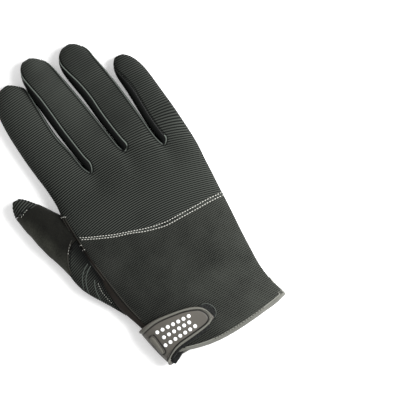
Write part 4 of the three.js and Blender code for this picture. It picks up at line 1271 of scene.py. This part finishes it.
# %% Palm pads
PADS = ("knuckle_patch", "thenar_patch", "heel_patch_upper", "heel_patch_lower")
PAD_EDGE = 0.35 * MM
PAD_CORNER = math.radians(60)
PAD_LIT = 1.1
pads = []
for node in PADS:
    pad = copy_of(node, f"{node}_pad")
    edit(pad, "EDGE")
    bpy.ops.mesh.select_all(action="SELECT")
    bpy.ops.mesh.dissolve_limited(angle_limit=math.radians(2))
    close_edit()
    apply_modifier(pad, "BEVEL", width=PAD_EDGE, segments=2, limit_method="ANGLE", angle_limit=PAD_CORNER)
    apply_modifier(pad, "TRIANGULATE")
    write_attribute(pad, "lit", np.full(len(pad.data.vertices), PAD_LIT))
    pads.append(finish_piece(pad, "suede", suede, node, corners=35))

# %% [markdown]
# ## Vent holes
# Each finger's front has two rows of small holes that are punched through the suede. We join a set of
# cylinders into one punch and cut it out of the palm with a Boolean.

# %% Vent holes
VENT = 0.65 * MM
PUNCH_LENGTH = 5 * MM
PUNCH_SIDES = 12
# First and last hole of each row, on the page in mm.
VENT_ROWS = [
    [(-36.5, 168), (-41.5, 222)],
    [(-43.5, 172), (-47.5, 218)],
    [(-8.5, 168), (-13, 228)],
    [(-14, 172), (-18.5, 224)],
    [(21, 166), (16.5, 220)],
    [(15, 170), (11, 216)],
    [(47.5, 156), (47, 196)],
    [(41.5, 160), (42, 192)],
]
VENTS_IN_ROW = 6
deselect_all()
punches = []
for first, last in VENT_ROWS:
    for x, y in on_page(np.linspace(first, last, VENTS_IN_ROW)):
        bpy.ops.mesh.primitive_cylinder_add(vertices=PUNCH_SIDES, radius=VENT, depth=PUNCH_LENGTH,
                                            location=(x, y, 0))
        punches.append(bpy.context.active_object)
vents = len(punches)
punch = join_into(punches[-1], punches)
bpy.ops.object.transform_apply(location=True, rotation=True, scale=True)
apply_modifier(palm_cloth, "BOOLEAN", object=punch, operation="DIFFERENCE", solver="EXACT")
bpy.data.objects.remove(punch)
smooth_shade(palm_cloth, 50)
print("vents:", vents, "palm faces:", len(palm_cloth.data.polygons))

# %% [markdown]
# ## Stitches of the palm
# The thread on this side is brownish and sinks into the suede. We lay it as on the back, with the same
# stitch, but the rays come from below and find the pads as well as the panel under them.

# %% Palm stitches
UP = -DOWN
PALM_LINES = [
    [(-56, 137), (-52, 141.5), (-48, 145), (-44, 145.3), (-41.5, 143), (-43, 138), (-46, 132), (-48.5, 125),
     (-48, 118), (-45, 112), (-42, 109.5)],
    [(-44, 125.5), (-44, 131), (-44, 138.5), (-42, 144.7), (-38.5, 144.4), (-34, 137.5), (-27.5, 133),
     (-23, 137), (-20.5, 144), (-12.5, 144.3), (-9.6, 142), (-7.4, 134.5), (-1.5, 130.4), (3.8, 135.5),
     (6.2, 141), (13, 139.5), (17, 132.8), (24, 128.5), (23.4, 125.2), (0, 124.4), (-30, 125.4),
     (-44, 125.5)],
    [(-28, 105.4), (-14.8, 99.5), (-5.5, 94), (-2.1, 82), (-4.4, 63.8), (-8.8, 57.6), (-20, 57.1), (-32, 63),
     (-35.4, 72), (-34, 92), (-32.5, 101), (-28, 105.4)],
    [(37, 113), (20, 113.6), (0, 116.1), (-9.5, 116.8), (-13.2, 113.3), (-10, 108.8), (3.3, 103.5),
     (20, 102.9), (37.5, 101.4)],
    [(5.8, 97.2), (17.2, 91.9), (24.6, 84.7), (19.8, 81.1), (8, 85), (3.9, 76.5), (2.4, 60)],
    [(5.5, 59.5), (9.2, 54.6), (22.8, 44.6), (31.6, 40), (34.5, 44), (36.4, 60), (36.9, 80), (36.9, 96)],
    [(-20, 55), (-25, 49), (-30, 44), (-40, 38), (-48, 35), (-55, 38)],
    [(-21, 52.6), (-26, 46.9), (-31, 42), (-41, 36), (-48.5, 33)],
]
palm_skin = skin_of(palm_cloth, *pads, bpy.data.objects["thumb_root_front_suede"])
thread_brown = one_tone("thread_brown", shade(138, 132, 122), 0.9, 0.1)
palm_routes = [on_page(route) for route in PALM_LINES]
sew("palm_stitches", palm_routes, palm_skin, thread_brown, way=UP, pitch=2.4 * MM, size=0.75, sink=0.42)

# %% [markdown]
# ## Floor, boxes and finish
# The floor is white and glows a little, as a lit sheet of paper under a product does. The outer box of the
# dressed glove is kept beside the box of the CAD model, and the two should agree within a millimetre or so.

# %% Print the boxes and finish
white = Finish("floor_white", Base_Color=(0.9, 0.9, 0.9), Roughness=0.9, Emission_Color=(1, 1, 1),
               Emission_Strength=FLOOR_GLOW)
floor.data.materials.append(white.material)
dressed_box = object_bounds()
for name, box in (("CAD", cad_box), ("dressed", dressed_box)):
    print(name, [[round(value / MM, 2) for value in corner] for corner in box])
